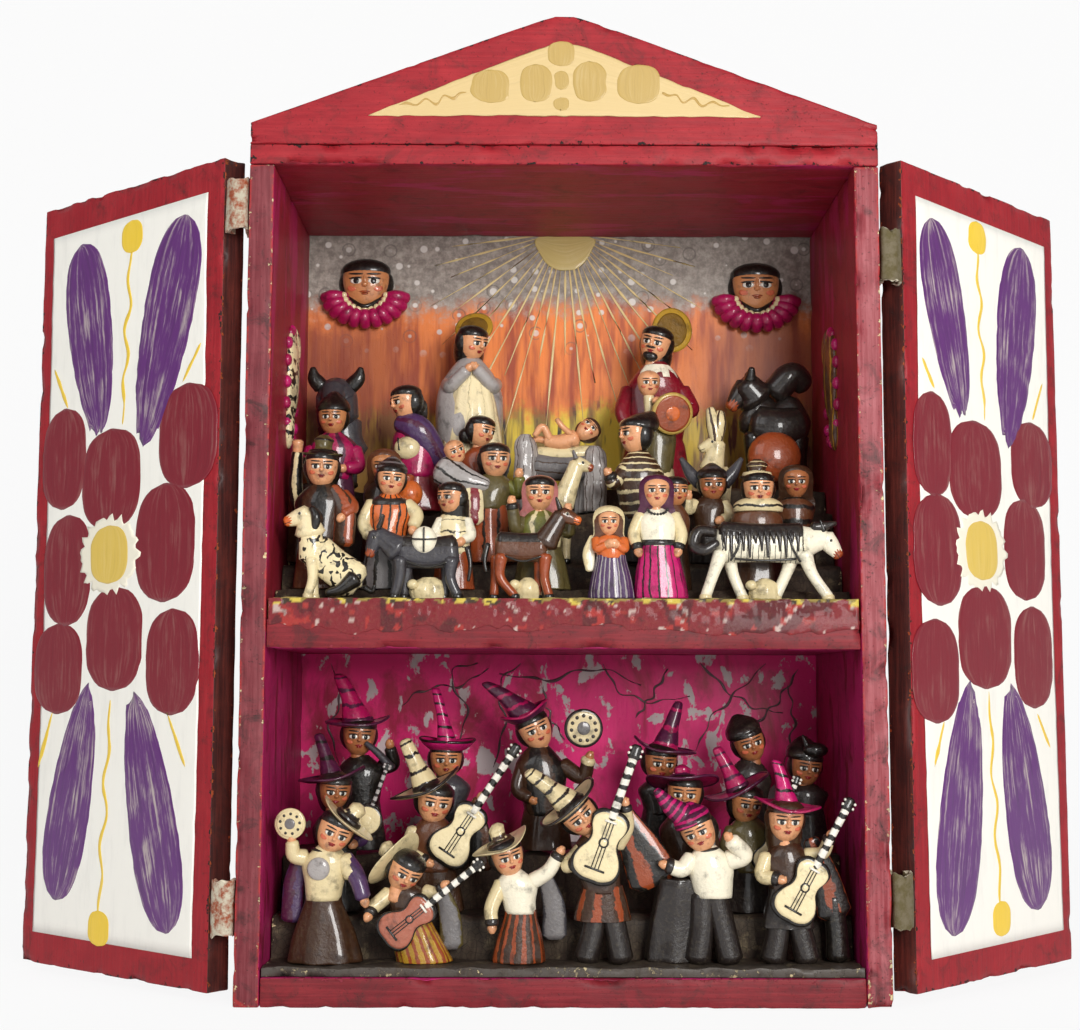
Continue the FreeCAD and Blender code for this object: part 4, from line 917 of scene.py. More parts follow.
def make_straps(fray_reach):
    """Hinge strips: each a folded band from the wall round the fold to the door's edge, its ends frayed."""
    stations, around, half_tall = 44, 36, STRAP_TALL / 2
    for side, name in SIDES:
        least, most = low("hinge_straps_" + name), high("hinge_straps_" + name)
        wall = -most[0] if side < 0 else least[0]
        out = -least[0] if side < 0 else most[0]
        angle = math.radians(OPEN_ANGLE[name])
        turn_x, turn_y = out - wall - 0.5, 5.0
        # wall leaf, fold, then along the door's edge, outboard x and backward y from the wall's corner
        route = [(0.75, 8.2, 0), (0.8, 5.0, 0), (0.8, 1.9, 0), (1.9, 0.6, 0), (4.3, 0.9, 0),
                 (turn_x - 0.7, 3.2, 0), (turn_x - 0.35, turn_y + 0.6, 0),
                 (turn_x - 0.3 - 2.6 * math.sin(angle), turn_y + 0.8 + 2.6 * math.cos(angle), 0)]
        path = smooth(route, stations)
        along = np.gradient(path, axis=0)
        along /= np.linalg.norm(along, axis=1, keepdims=True)
        up = np.array([0.0, 0.0, 1.0])
        over = np.cross(along, up)
        _, cosine, sine = circle(around)
        band = Piece()
        for level, foot in enumerate((least[2], most[2] - STRAP_TALL)):
            edge = np.tanh(3.2 * cosine) * half_tall
            rim = np.tanh(2.5 * sine) * 0.62
            rings = path[:, None, :] + edge[None, :, None] * up + rim[None, :, None] * over[:, None, :]
            fray = value_noise(rings.reshape(-1, 3) + level * 50 + side * 20, 1.6, 5).reshape(rings.shape[:2])
            crease = value_noise(rings.reshape(-1, 3) * (1, 1, 0.35) + level * 31, 2.6, 9)
            crease = crease.reshape(rings.shape[:2])
            rings = rings + (fray * fray_reach * np.sign(cosine) * (abs(cosine) > 0.55))[..., None] * up
            rings = rings + (crease * 0.30)[..., None] * over[:, None, :]
            ends = (abs(cosine) > 0.8) * np.ones((stations, 1))
            raw = np.array([(0.50, 0.45, 0.34), (0.16, 0.13, 0.075)][side > 0])
            worn = np.array(PAINT["ivory"])
            shades = raw + (worn - raw) * (np.clip(ends + 0.25 * (level == 0) * (side < 0), 0, 1))[..., None]
            rings[..., 2] += foot + half_tall
            rings[..., 0] = side * (wall + rings[..., 0])
            rings[..., 1] += FRONT
            if side < 0:
                rings, shades = rings[:, ::-1], shades[:, ::-1]
            band.add(rings, shades.reshape(-1, 3), "rust" if side < 0 else "olive")
        mesh = band.mesh("leather_strips_" + name)
        strips = linked("leather_strips_" + name, mesh)
        mesh.materials.append(old_leather())
        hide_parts("hinge_straps_" + name)
        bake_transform(strips)


def paste_ground_paint(name, front):
    """Dark paste with crackle and dust, and a wash of another colour near its front."""
    def washes(tree, where, shown):
        """Dust, crackle and the wash along the front edge."""
        dust = cloud(tree, where, 0.16, 7.0, 0.7)
        shown = mix(tree, step(tree, dust, 0.52, 0.72), shown, (0.16, 0.125, 0.075))
        crack = node(tree, "TexVoronoi", {"Vector": where, "Scale": 0.42}, feature="DISTANCE_TO_EDGE")
        shown = mix(tree, times(tree, step(tree, crack.outputs["Distance"], 0.05, 0.0), 0.7), shown,
                    PAINT["black"])
        near = step(tree, node(tree, "SeparateXYZ", {0: attribute(tree, "flat")}).outputs["Y"], 9.0, 0.5)
        return mix(tree, times(tree, near, step(tree, dust, 0.36, 0.56)), shown, front)
    return board_paint(name + "_paste", (0.035, 0.024, 0.018), (0.10, 0.075, 0.05), "wool", 0.3, 0.1, 0.5,
                       extra=washes, coat=0.1)


def make_ground(name, tiers, deep, front):
    """Paste ground: a slab whose height steps up by tiers, each riser eased over 1.6 mm, with lumps."""
    least, most = low(name), high(name)
    size = most - least
    blank = 4.0
    points, quads, sides, edge = plank((size[0], size[1], blank), 1.7, 0.3, 0.2, 31)
    y = points[:, 1]
    tall = np.full(len(y), float(tiers[0]))
    for i in range(1, len(tiers)):
        rise = np.clip((y - i * deep + 0.6) / 1.6, 0, 1)
        tall += (tiers[i] - tiers[i - 1]) * rise * rise * (3 - 2 * rise)
    lump = value_noise(points * (1, 1, 0), 5.0, 8) * 0.45 + value_noise(points * (1, 1, 0), 1.9, 9) * 0.22
    points[:, 2] *= (tall + lump - 0.1) / blank
    mesh = board_mesh(name + "_dressed", points, quads, sides, edge, Matrix.Translation(least), 2, [0] * 6, 3)
    settle(name + "_dressed", mesh, [paste_ground_paint(name, front)], "box", "paste_ground", name)


def make_crust(drip_depth):
    """Crackled crust where the paste was drawn over the shelf's front edge, ragged along its lower side."""
    count, around = 320, 36
    x = np.linspace(-NICHE + 0.6, NICHE - 0.6, count)
    spots = np.column_stack([x, np.zeros(count), np.zeros(count)])
    drip = drip_depth + 2.4 * value_noise(spots, 11.0, 3) + 0.9 * value_noise(spots, 3.0, 4)
    _, cosine, sine = circle(around)
    top = UPPER_FLOOR + UPPER_TIERS[0] - 0.4
    foot = UPPER_FLOOR - 0.6 - drip
    middle, half = (top + foot) / 2, (top - foot) / 2
    out = FRONT + 0.5 + 0.7 * np.tanh(2 * cosine) * np.ones((count, 1))
    up = middle[:, None] + half[:, None] * np.sin(np.clip(1.25 * np.arcsin(sine), -1.5708, 1.5708))
    rings = np.stack([x[:, None] * np.ones(around), out, up], -1)
    grit = value_noise(rings.reshape(-1, 3), 1.5, 6).reshape(count, around)
    rings[..., 1] -= np.clip(grit, 0, 1) * 0.7
    # the closed doors pass 0.3 mm in front of the boards, so the crust stays within 0.06 mm of them
    above = np.clip((rings[..., 2] - UPPER_FLOOR) / 1.5, 0, 1)
    rings[..., 1] = np.maximum(rings[..., 1], FRONT - 0.06 + 0.3 * above * (1 - grit))
    lump = value_noise(rings.reshape(-1, 3), 2.4, 16).reshape(count, around)
    wide = value_noise(rings.reshape(-1, 3) * (1, 1, 0.4), 9.0, 26).reshape(count, around)
    shades = np.array((0.19, 0.012, 0.018)) * np.ones((count, around, 3))
    shades[wide > 0.2] = (0.10, 0.009, 0.013)
    shades[lump + 0.5 * wide > 0.45] = (0.34, 0.026, 0.022)
    shades[(grit > 0.55) & (lump > 0.2)] = (0.50, 0.36, 0.32)
    upper = rings[..., 2] + 1.6 * lump > UPPER_FLOOR + 5.6
    shades[upper & (wide > -0.35)] = linear("#8d7a3a")
    shades[upper & (lump > 0.3)] = linear("#c9b24a")
    shades[upper & (grit < -0.3)] = linear("#3a2c1c")
    crust = Piece()
    crust.add(rings[:, ::-1], shades[:, ::-1].reshape(-1, 3), amount=0.0)
    settle("shelf_crust", crust, paste_paint("crackled_crust", 0.1, 0.45), "box", "paste_ground")


# ------------------------------------------------------------------ stage

# place in millimetres, pitch, yaw and roll in degrees, and focal length on a 36 mm wide sensor
CAMERA_SPOT = (-10.06, -583.34, 98.09)
CAMERA_TURN = (5.9, -0.26, 0.15)
LENS = 56.47


def make_sweep():
    """White paper floor that curves up into the backdrop; the camera sees it lit evenly."""
    across = np.linspace(-1.6, 1.6, 9)
    arc = np.linspace(0, math.pi / 2, 14)
    curve = np.column_stack([0.45 + 0.25 * np.sin(arc), 0.25 - 0.25 * np.cos(arc)])
    profile = np.vstack([[(-1.3, 0.0)], curve, [(0.70, 1.6)]])
    spots = np.array([[(x, y, z) for x in across] for y, z in profile])
    index = np.arange(spots.shape[0] * 9).reshape(-1, 9)
    quads = np.stack([index[:-1, :-1], index[:-1, 1:], index[1:, 1:], index[1:, :-1]], -1).reshape(-1, 4)
    mesh = bpy.data.meshes.new("white_sweep")
    mesh.from_pydata(spots.reshape(-1, 3), [], quads)
    mesh.polygons.foreach_set("use_smooth", np.ones(len(quads), bool))
    sweep = linked("white_sweep", mesh)
    material, tree = new_material("white_paper")
    surface = node(tree, "BsdfDiffuse", {"Color": (0.86, 0.86, 0.86, 1)})
    glow = node(tree, "Emission", {"Color": (1, 1, 1, 1), "Strength": 1.0})
    rays = node(tree, "LightPath").outputs
    seen = times(tree, calc(tree, "MAXIMUM", rays["Is Camera Ray"], rays["Is Glossy Ray"]), 0.9)
    both = node(tree, "MixShader", {0: seen, 1: surface.outputs[0], 2: glow.outputs[0]})
    tree.links.new(both.outputs[0], node(tree, "OutputMaterial").inputs[0])
    mesh.materials.append(material)


def make_lights(lights):
    """Two softboxes in front, and an even room light that the camera sees as white."""
    for label, spot, target, size, power, colour in (
            ("front_softbox", (0.40, -1.25, 0.38), (0.0, 0.0, 0.15), 0.45, lights.front, (1, 0.985, 0.96)),
            ("fill_softbox", (-0.9, -1.1, 0.9), (0.0, 0.0, 0.15), 0.9, lights.fill, (0.97, 0.985, 1))):
        lamp = bpy.data.lights.new(label, "AREA")
        lamp.shape, lamp.size, lamp.energy, lamp.color = "SQUARE", size, power, colour
        holder = linked(label, lamp)
        holder.location = spot
        holder.rotation_mode = "QUATERNION"
        holder.rotation_quaternion = (Vector(target) - Vector(spot)).to_track_quat("-Z", "Y")
    world = bpy.data.worlds.new("soft_room")
    world.use_nodes = True
    tree = world.node_tree
    tree.nodes.clear()
    rays = node(tree, "LightPath").outputs
    strength = calc(tree, "MULTIPLY_ADD", rays["Is Camera Ray"], 1.0 - lights.room, lights.room)
    sky = node(tree, "Background", {"Color": (1, 1, 1, 1), "Strength": strength})
    tree.links.new(sky.outputs[0], node(tree, "OutputWorld").inputs[0])
    bpy.context.scene.world = world
    bpy.context.scene.view_settings.view_transform = "Standard"


def make_camera():
    """Camera at the photograph's place, fitted to the cabinet's corners."""
    camera = bpy.data.cameras.new("camera")
    camera.sensor_width, camera.lens, camera.sensor_fit = 36.0, LENS, "HORIZONTAL"
    camera.clip_start, camera.clip_end = 0.02, 20.0
    holder = linked("camera", camera)
    pitch, yaw, roll = (math.radians(angle) for angle in CAMERA_TURN)
    right = Vector((math.cos(yaw), math.sin(yaw), 0))
    level = Vector((-math.sin(yaw), math.cos(yaw), 0))
    ahead = math.cos(pitch) * level + math.sin(pitch) * Vector((0, 0, 1))
    up = -math.sin(pitch) * level + math.cos(pitch) * Vector((0, 0, 1))
    side = math.cos(roll) * right + math.sin(roll) * up
    rise = -math.sin(roll) * right + math.cos(roll) * up
    turn = Matrix((side, rise, -ahead)).transposed().to_4x4()
    holder.matrix_world = Matrix.Translation(Vector(CAMERA_SPOT) * MM) @ turn
    bpy.context.scene.camera = holder


# ------------------------------------------------------------------ moulded figures

HEAD = [(-1.06, 0.14, 0.14), (-0.98, 0.40, 0.42), (-0.74, 0.68, 0.70), (-0.32, 0.91, 0.90), (0.14, 1.0, 1.0),
        (0.55, 0.95, 0.97), (0.88, 0.62, 0.66), (1.03, 0.2, 0.2)]
GUITAR = [(0.0, 1.0), (0.30, 0.98), (0.50, 0.80), (0.50, 0.56), (0.40, 0.30), (0.42, 0.05), (0.60, -0.25),
          (0.68, -0.55), (0.58, -0.84), (0.30, -0.99), (0.0, -1.0)]
FACE_MARKS = [
    # across, height, half sizes, paint, how far out of the head, roll: all in half widths of the head
    (0.56, -0.30, (0.24, 0.05, 0.17), "blush", -0.025, 0), (0.38, 0.02, (0.27, 0.07, 0.15), "white", 0.0, 0),
    (0.37, 0.02, (0.14, 0.07, 0.145), "black", 0.04, 0), (0.40, 0.16, (0.31, 0.06, 0.05), "black", 0.035, 2),
    (0.38, 0.36, (0.34, 0.06, 0.05), "soot", 0.015, -3), (0, -0.16, (0.14, 0.21, 0.13), "own", 0.05, 0),
    (0, 0.08, (0.09, 0.13, 0.26), "own", 0.03, 0), (0, -0.50, (0.23, 0.08, 0.06), "lips", 0.02, 0),
    (0, -0.60, (0.16, 0.08, 0.05), "lips", 0.02, 0)]


def about(axis, degrees):
    """Turn about one axis."""
    return Matrix.Rotation(math.radians(degrees), 4, axis)


def carried(turn, place):
    """A place carried by a turn, as an array."""
    return np.array(turn.to_3x3() @ Vector(place))


def tilt(yaw=0.0, nod=0.0, roll=0.0):
    """Turn of a head: yaw to the viewer's right, nod down, roll clockwise as the viewer sees it."""
    return about("Y", roll) @ about("X", nod) @ about("Z", yaw)


class Figure(Piece):
    """Moulded figure on a step of paste; a point is (x, depth behind the step's middle, height) in mm."""

    def __init__(self, depth=0.0, height=0.0):
        """Empty figure; brow keeps the middle, half width and turn of its last head."""
        super().__init__(Matrix.Translation((0, FRONT + depth, height)))
        self.brow = None

    def put(self, rings, paint, mark=None, spots=None):
        """Adds rings. mark: second paint, along or around, stripes, width. spots: second paint, share."""
        rows, around = rings.shape[:2]
        second, stripe, amount = None, None, 0.0
        if mark:
            second, run, count, amount = (*mark, 1.0)[:4]
            if run == "along":
                stripe = np.linspace(0, count, rows)[:, None] * np.ones((1, around))
            else:
                stripe = np.ones((rows, 1)) * np.linspace(0, count, around, endpoint=False)
        self.add(rings, paint, spots[0] if spots else second, stripe, amount, spots[1] if spots else 0.0)

    def ball(self, spot, radii, paint, turn=None, rows=11, around=16, **more):
        """Ellipsoid at the spot."""
        turn = tilt(*turn) if isinstance(turn, tuple) else turn
        self.put(ball(spot, radii, turn, int(rows), int(around)), paint, **more)

    def limb(self, path, radii, paint, rows=14, around=12, flat=1.0, **more):
        """Rounded limb along a path of points."""
        self.put(tube(path, radii, int(rows), int(around), flat), paint, **more)

    def form(self, spot, levels, paint, rows=24, around=32, folds=0, fold=(0.0, 0.0), wobble=0.12, **more):
        """Upright form at the spot. A level is height, half width, half depth, shift in x and in depth."""
        rings = stack(levels, rows, around, folds, fold, 0.6 + spot[0], wobble, int(abs(spot[0])) + 3)
        self.put(turned(spot, Matrix.Identity(4), rings), paint, **more)

    def gown(self, foot, waist, halves, paint, folds=9, fold=0.07, deep=0.62, **more):
        """Skirt from the foot up to the waist, belled, with folds that die out upward."""
        wide, thin = halves
        tall, sx, sd = waist[2] - foot[2], waist[0] - foot[0], waist[1] - foot[1]
        levels = [(0, wide * 0.96, wide * deep), (tall * 0.06, wide, wide * deep),
                  (tall * 0.45, wide * 0.66 + thin * 0.34, (wide * 0.6 + thin * 0.4) * deep * 1.05,
                   sx * 0.45, sd * 0.45),
                  (tall * 0.85, thin * 1.06, thin * 0.8, sx * 0.85, sd * 0.85),
                  (tall, thin, thin * 0.78, sx, sd)]
        self.form(foot, levels, paint, folds=folds, fold=(fold, 0.01), **more)

    def trunk(self, waist, neck, halves, paint, deep=0.66, **more):
        """Body from the waist to the neck, widest at the shoulders, then drawn in to the neck."""
        thin, wide = halves
        tall, sx, sd = neck[2] - waist[2], neck[0] - waist[0], neck[1] - waist[1]
        levels = [(-tall * 0.04, thin * 0.9, thin * 0.8),
                  (tall * 0.3, thin * 1.02, thin * 0.82, sx * 0.3, sd * 0.3),
                  (tall * 0.66, wide, wide * deep, sx * 0.66, sd * 0.66),
                  (tall * 0.88, wide * 0.72, wide * 0.56, sx * 0.88, sd * 0.88),
                  (tall * 1.05, wide * 0.34, wide * 0.34, sx, sd)]
        self.form(waist, levels, paint, rows=18, around=28, **more)

    def robe(self, foot, waist, neck, halves, skirt, top, folds, fold, lap=1.6, top_mark=None, **more):
        """Gown and trunk in one: the trunk starts inside the gown's waist, the lap below it."""
        self.gown(foot, waist, halves[:2], skirt, folds, fold, **more)
        self.trunk((waist[0], waist[1], waist[2] - lap), neck, halves[2:], top, mark=top_mark)

    def arm(self, path, paint, thick=2.1, skin="skin", cuff=None, **more):
        """Sleeve from shoulder through elbow to the wrist, and a mitten hand with a thumb."""
        shoulder, elbow, hand = (np.array(p, float) for p in path)
        run = hand - elbow
        run /= np.linalg.norm(run)
        wrist = hand - run * 1.2
        self.limb([shoulder, elbow, wrist], [thick * 1.1, thick, thick * 0.86], paint, 16, 14, **more)
        if cuff:
            self.limb([wrist - run * 0.9, wrist + run * 0.35], [thick * 0.98] * 2, cuff, 5, 14)
        self.limb([wrist - run * 0.3, hand + run * 0.5, hand + run * 1.9], [1.15, 1.55, 0.9], skin, 9, 12)
        self.limb([hand + (0.2, -0.6, 0.3), hand + run * 0.9 + (0.9, -0.9, 0.9)], [0.7, 0.5], skin, 5, 8)

    def boot(self, hip, foot, paint, thick):
        """Trouser leg from the hip down to a broad shoe that points forward."""
        hip, foot = np.array(hip, float), np.array(foot, float)
        self.limb([hip, (hip + foot) / 2 + (0.4, -0.3, 0), foot + (0, 0.2, 1.2)],
                  [thick, thick * 0.92, thick * 1.02], paint, 16, 18)
        self.limb([foot + (0, 0.8, 1.1), foot + (0, -2.4, 0.9)], [1.9, 1.2], "black", 8, 12)

    def face(self, spot, half, turn, skin="skin", lips="lips"):
        """Head with a plain doll's face: brows, eyes, nose, lips and cheeks set on the head's own curve."""
        levels, middle, matrix = np.array(HEAD), np.array(spot, float), turn.to_3x3()
        rings = stack([(r[0] * half * 1.12, r[1] * half, r[2] * half * 0.95) for r in HEAD], 22, 28)
        self.put(turned(middle, turn, rings), skin)
        for across, v, radii, paint, out, angle in FACE_MARKS:
            wide = np.interp(v / 1.12, levels[:, 0], levels[:, 1])
            deep = np.interp(v / 1.12, levels[:, 0], levels[:, 2]) * 0.95
            share = min(across / wide, 0.97)
            front = -deep * math.sqrt(1 - share * share)
            for side in (-1, 1) if across else (1,):
                at = middle + np.array(matrix @ Vector((side * across, front - out, v))) * half
                yaw = side * math.degrees(math.asin(share)) * 0.8
                paint = {"own": skin, "lips": lips}.get(paint, paint)
                self.put(ball(at, np.array(radii) * half, turn @ about("Z", yaw) @ about("Y", side * angle),
                              7, 10), paint)

    def hair(self, spot, half, turn, paint="black", long=0.0):
        """Hair: a fringe forward over the brow, locks down the sides, and a fall when it is long."""
        middle, matrix = np.array(spot, float), turn.to_3x3()
        for place, radii in (((0, 0.11, 0.62), (1.07, 1.07, 0.62)), ((0, 0.36, 0.04), (1.19, 0.86, 1.12))):
            centre = middle + np.array(matrix @ Vector(place)) * half
            self.put(ball(centre, np.array(radii) * half, turn, 14, 26), paint)
        if long:
            start = middle + np.array(matrix @ Vector((0, 0.45 * half, -0.1 * half)))
            self.limb([start, (start[0], middle[1] + 0.75 * half, middle[2] - long * 0.5),
                       (start[0], middle[1] + 0.6 * half, middle[2] - long)],
                      [half * 1.05, half * 1.05, half * 0.8], paint, 10, 14)

    def head(self, spot, half, turn, skin="skin", hair="black", long=0.0, neck=1):
        """Head with its face, hair and neck; turn is yaw, nod and roll."""
        turn, middle = tilt(*turn), np.array(spot, float)
        self.brow = middle, half, turn
        self.face(spot, half, turn, skin)
        if hair:
            self.hair(spot, half, turn, hair, long)
        if neck:
            end = carried(turn, (0, 0.1, -1.0)) * half
            self.limb([middle + (end[0] * 0.7, 0.6, end[2] * 0.7),
                       middle + (end[0] * 1.35, 0.8, -half * 1.65)],
                      [half * 0.42, half * 0.46], skin, 6, 14)

    def crown_of(self, at, size, turn, lean_over, rise):
        """Where a hat sits on the last head: its base, its size and its turn."""
        middle, half, own = self.brow
        turn = own if turn is None else tilt(*turn)
        turn = turn @ about("Y", lean_over)
        half = size or half
        return middle + at + carried(turn, (0, 0.08 * half, rise * half)), half, turn

    def sombrero(self, paint, second, brim, lean, count, shape, at=(0, 0, 0), size=None, turn=None,
                 lean_over=0.0, rim=None):
        """Hat: a lathe-turned brim whose rim curls up and waves, and a crown drawn out to a tip."""
        (reach, tall), (curl, wave, crown, tip) = brim, shape
        base, half, turn = self.crown_of(at, size, turn, lean_over, 0.62)
        profile = [(-0.10, 0.5), (-0.08, 0.92), (-0.02, reach * 0.7), (curl * 0.6, reach * 0.95),
                   (curl, reach),
                   (curl * 1.05, reach * 0.96), (0.14, reach * 0.72), (0.14, 0.95), (0.2, 0.5)]
        rings = stack([(h * half, r * half, r * half * 0.94) for h, r in profile], 22, 36)
        out = np.hypot(rings[..., 0], rings[..., 1]) / (reach * half)
        around, phase = np.arctan2(rings[..., 1], rings[..., 0]), self.brow[0][0] + at[0]
        rings[..., 2] += wave * half * out ** 2 * (np.cos(2 * around) + 0.6 * np.cos(3 * around + phase))
        self.put(turned(base, turn, rings), paint)
        if rim:
            around = np.linspace(0, FULL_TURN, 37)
            lift = curl + wave * (np.cos(2 * around) + 0.6 * np.cos(3 * around + phase))
            edge = np.column_stack([reach * np.cos(around), 0.94 * reach * np.sin(around), lift]) * half
            self.put(turned(base, turn, tube(edge, [0.085 * half] * 37, 60, 8)), rim)
        rows = [(0.05, crown, crown), (tall * 0.22, crown * 0.92, crown * 0.9),
                (tall * 0.5, crown * 0.62, crown * 0.6),
                (tall * 0.8, crown * 0.36 + tip * 0.4, crown * 0.34 + tip * 0.4), (tall, tip, tip),
                (tall + tip * 0.5, tip * 0.4, tip * 0.4)]
        bend = [(h * half, a * half, b * half, lean[0] * half * (h / tall) ** 1.4,
                 lean[1] * half * (h / tall) ** 1.4)
                for h, a, b in rows]
        self.put(turned(base, turn, stack(bend, 26, 20, 5, (0.03, 0.06))), paint,
                 (second, "along", count * 1.3, 0.42))
        band = stack([(0.12 * half, crown * 1.02 * half, crown * half),
                      (0.24 * half, crown * 1.08 * half, crown * 1.05 * half),
                      (0.44 * half, crown * half, crown * 0.98 * half)], 6, 24)
        self.put(turned(base, turn, band), second)

    def beanie(self, paint, second, tall, count, lean=(0.0, 0.3), at=(0, 0, 0), size=None, turn=None,
               lean_over=0.0):
        """Close cap over the brow with a rolled edge."""
        base, half, turn = self.crown_of(at, size, turn, lean_over, 0.42)
        rows = [(-0.1, 0.9), (0.0, 1.06), (0.22, 1.08), (0.5, 0.98), (0.3 + tall * 0.5, 0.72),
                (0.45 + tall * 0.7, 0.3), (0.5 + tall * 0.74, 0.1)]
        levels = [(h * half, r * half, r * half, lean[0] * half * h / tall, lean[1] * half * h / tall)
                  for h, r in rows]
        self.put(turned(base, turn, stack(levels, 20, 26)), paint, (second, "along", count))

    def shawl(self, paint, drop, spread, at=(0, 0, 0), size=None):
        """Cloth over the head: rings open at the face that fall from the crown to the shoulders."""
        middle, half, turn = self.brow
        half = size or half
        heights = np.array([-drop, -drop * 0.72, -1.0, -0.4, 0.2, 0.7, 1.05, 1.2])
        reach = np.array([spread, spread * 0.98, 1.08, 1.1, 1.12, 1.0, 0.66, 0.2]) * 1.08
        front = np.array([-0.1, -0.2, -0.45, -0.66, -0.74, -0.84, -0.66, -0.2])
        table = smooth(np.column_stack([heights, reach, front]), 26)
        _, cosine, sine = circle(36)
        ahead = table[:, 2:3] * (1 - 0.72 * cosine ** 2)
        behind = sine * table[:, 1:2] * 0.92 + (1 - sine) * table[:, 2:3] * 0.28
        rings = np.stack([table[:, 1:2] * cosine, np.where(sine > 0, behind, ahead),
                          table[:, 0:1] * np.ones_like(cosine)], -1) * half
        self.put(turned(middle + at, turn, rings), paint)

    def guitar(self, body, neck, paint, long, thick=2.6, strings="black", fan="white"):
        """Guitar from the middle of its body to the end of its neck: a waisted plate with a dark rim."""
        body, neck = np.array(body, float), np.array(neck, float)
        roll = Matrix.Rotation(math.atan2(neck[0] - body[0], neck[2] - body[2]), 4, "Y")
        outline = smooth(GUITAR, 40)
        outline = np.vstack([outline, outline[-2:0:-1] * (-1, 1)])
        self.put(plate(outline * long * 1.04, thick, body + (0, 0.3, 0), roll), "black")
        self.put(plate(outline * long * 0.93, 0.9, body + (0, -thick / 2 + 0.22, 0), roll, swell=0.2), paint)

        def on(u, v, out):
            """Place on the sounding board: across, along and out of it."""
            return body + carried(roll, (u * long, -thick / 2 - out, v * long))
        for share, out, colour in ((0.15, 0.42, strings), (0.105, 0.54, paint)):
            self.put(ball(on(0, 0.12, out), (long * share, 0.3, long * share), roll, 7, 18), colour)
        for u in (-0.10, 0.0, 0.10):
            self.limb([on(u, -0.62, 0.52), on(u * 0.9, 0.7, 0.58)], [0.17, 0.17], strings, 3, 6)
        self.limb([on(-0.28, -0.64, 0.5), on(0.28, -0.64, 0.5)], [0.36, 0.36], strings, 4, 8)
        self.limb([on(-0.16, 0.72, 0.55), on(0.16, 0.72, 0.55)], [0.42, 0.42], fan, 4, 8)
        start, end = on(0, 0.80, -0.35), neck + (0, -0.6, 0)
        self.limb([start, start * 0.5 + end * 0.5, end], [long * 0.13, long * 0.12, long * 0.13], "black", 30,
                  10, 0.7, mark=(fan, "along", 6.0))
        along = (end - start) / np.linalg.norm(end - start)
        self.limb([end - along * 0.4, end + along * long * 0.28], [long * 0.19, long * 0.15], "black", 6, 10,
                  0.6)
        side = np.array((along[2], 0, -along[0]))
        for k, on_head in itertools.product((-1, 1), (0.05, 0.2)):
            self.ball(end + along * long * on_head + side * k * long * 0.17 + (0, -0.4, 0), (0.5, 0.5, 0.5),
                      fan, None, 5, 8)

    def disc(self, spot, halves, thick, turn, paint):
        """Oval plate, such as a halo."""
        self.put(plate(oval(*halves, 32), thick, spot, tilt(*turn)), paint)

    def drum(self, spot, half, turn, paint, second, dots, centre, rim):
        """Hand drum or tambourine: a round plate with dots round it and a darker middle."""
        turn, middle = tilt(*turn), np.array(spot, float)

        def on(x, out, z):
            """Place on the skin of the drum: across, out of it and up."""
            return middle + carried(turn, (x * half, -out, z * half))
        self.put(plate(oval(half, half, 32), 1.8, middle, turn), rim)
        self.put(plate(oval(half * 0.86, half * 0.86, 32), 0.5, on(0, 0.85, 0), turn), paint)
        self.put(ball(on(0, 1.05, 0), (half * 0.36, 0.3, half * 0.36), turn, 7, 18), centre)
        for k in range(int(dots)):
            angle = FULL_TURN * k / dots
            self.put(ball(on(math.cos(angle) * 0.64, 1.1, math.sin(angle) * 0.64),
                          (half * 0.1, 0.25, half * 0.1), turn, 5, 8),
                     second)

    def cape(self, path, halves, paint, second, count, flat):
        """Hanging cloth: a flat band along a path, striped down its length."""
        self.put(tube(path, halves, 20, 28, flat), paint, (second, "around", count))

    def tuft(self, place, radii, paint):
        """Small ball set on the last head at a place in its half widths, such as a beard."""
        middle, half, turn = self.brow
        self.ball(middle + carried(turn, place) * half, radii, paint, turn)

    def body(self, depth, path, half, coat, back, thin, **more):
        """Animal's barrel along three points (x, z), with a darker saddle of paint along its back."""
        points = [(x, depth, z) for x, z in path]
        self.limb(points, [half, half * 0.94, half * 1.02], coat, 22, 22, thin, **more)
        if back:
            over = [(x, depth + 0.1, z + half * 0.42) for x, z in path]
            self.limb(over, [half * 0.72, half * 0.66, half * 0.74], back, 20, 20, thin * 1.34)

    def leg(self, depth, path, coat, thick, hoof="black"):
        """Animal's leg through three points (x, z), and its hoof."""
        (top, high_z), (knee, knee_z), (x, z) = path
        self.limb([(top, depth, high_z), (knee, depth, knee_z), (x, depth, z + 0.7)],
                  [thick * 1.35, thick, thick * 0.95], coat, 12, 12)
        self.limb([(x, depth, z + 1.1), (x, depth, z)], [thick * 1.05, thick * 1.12], hoof, 4, 12)

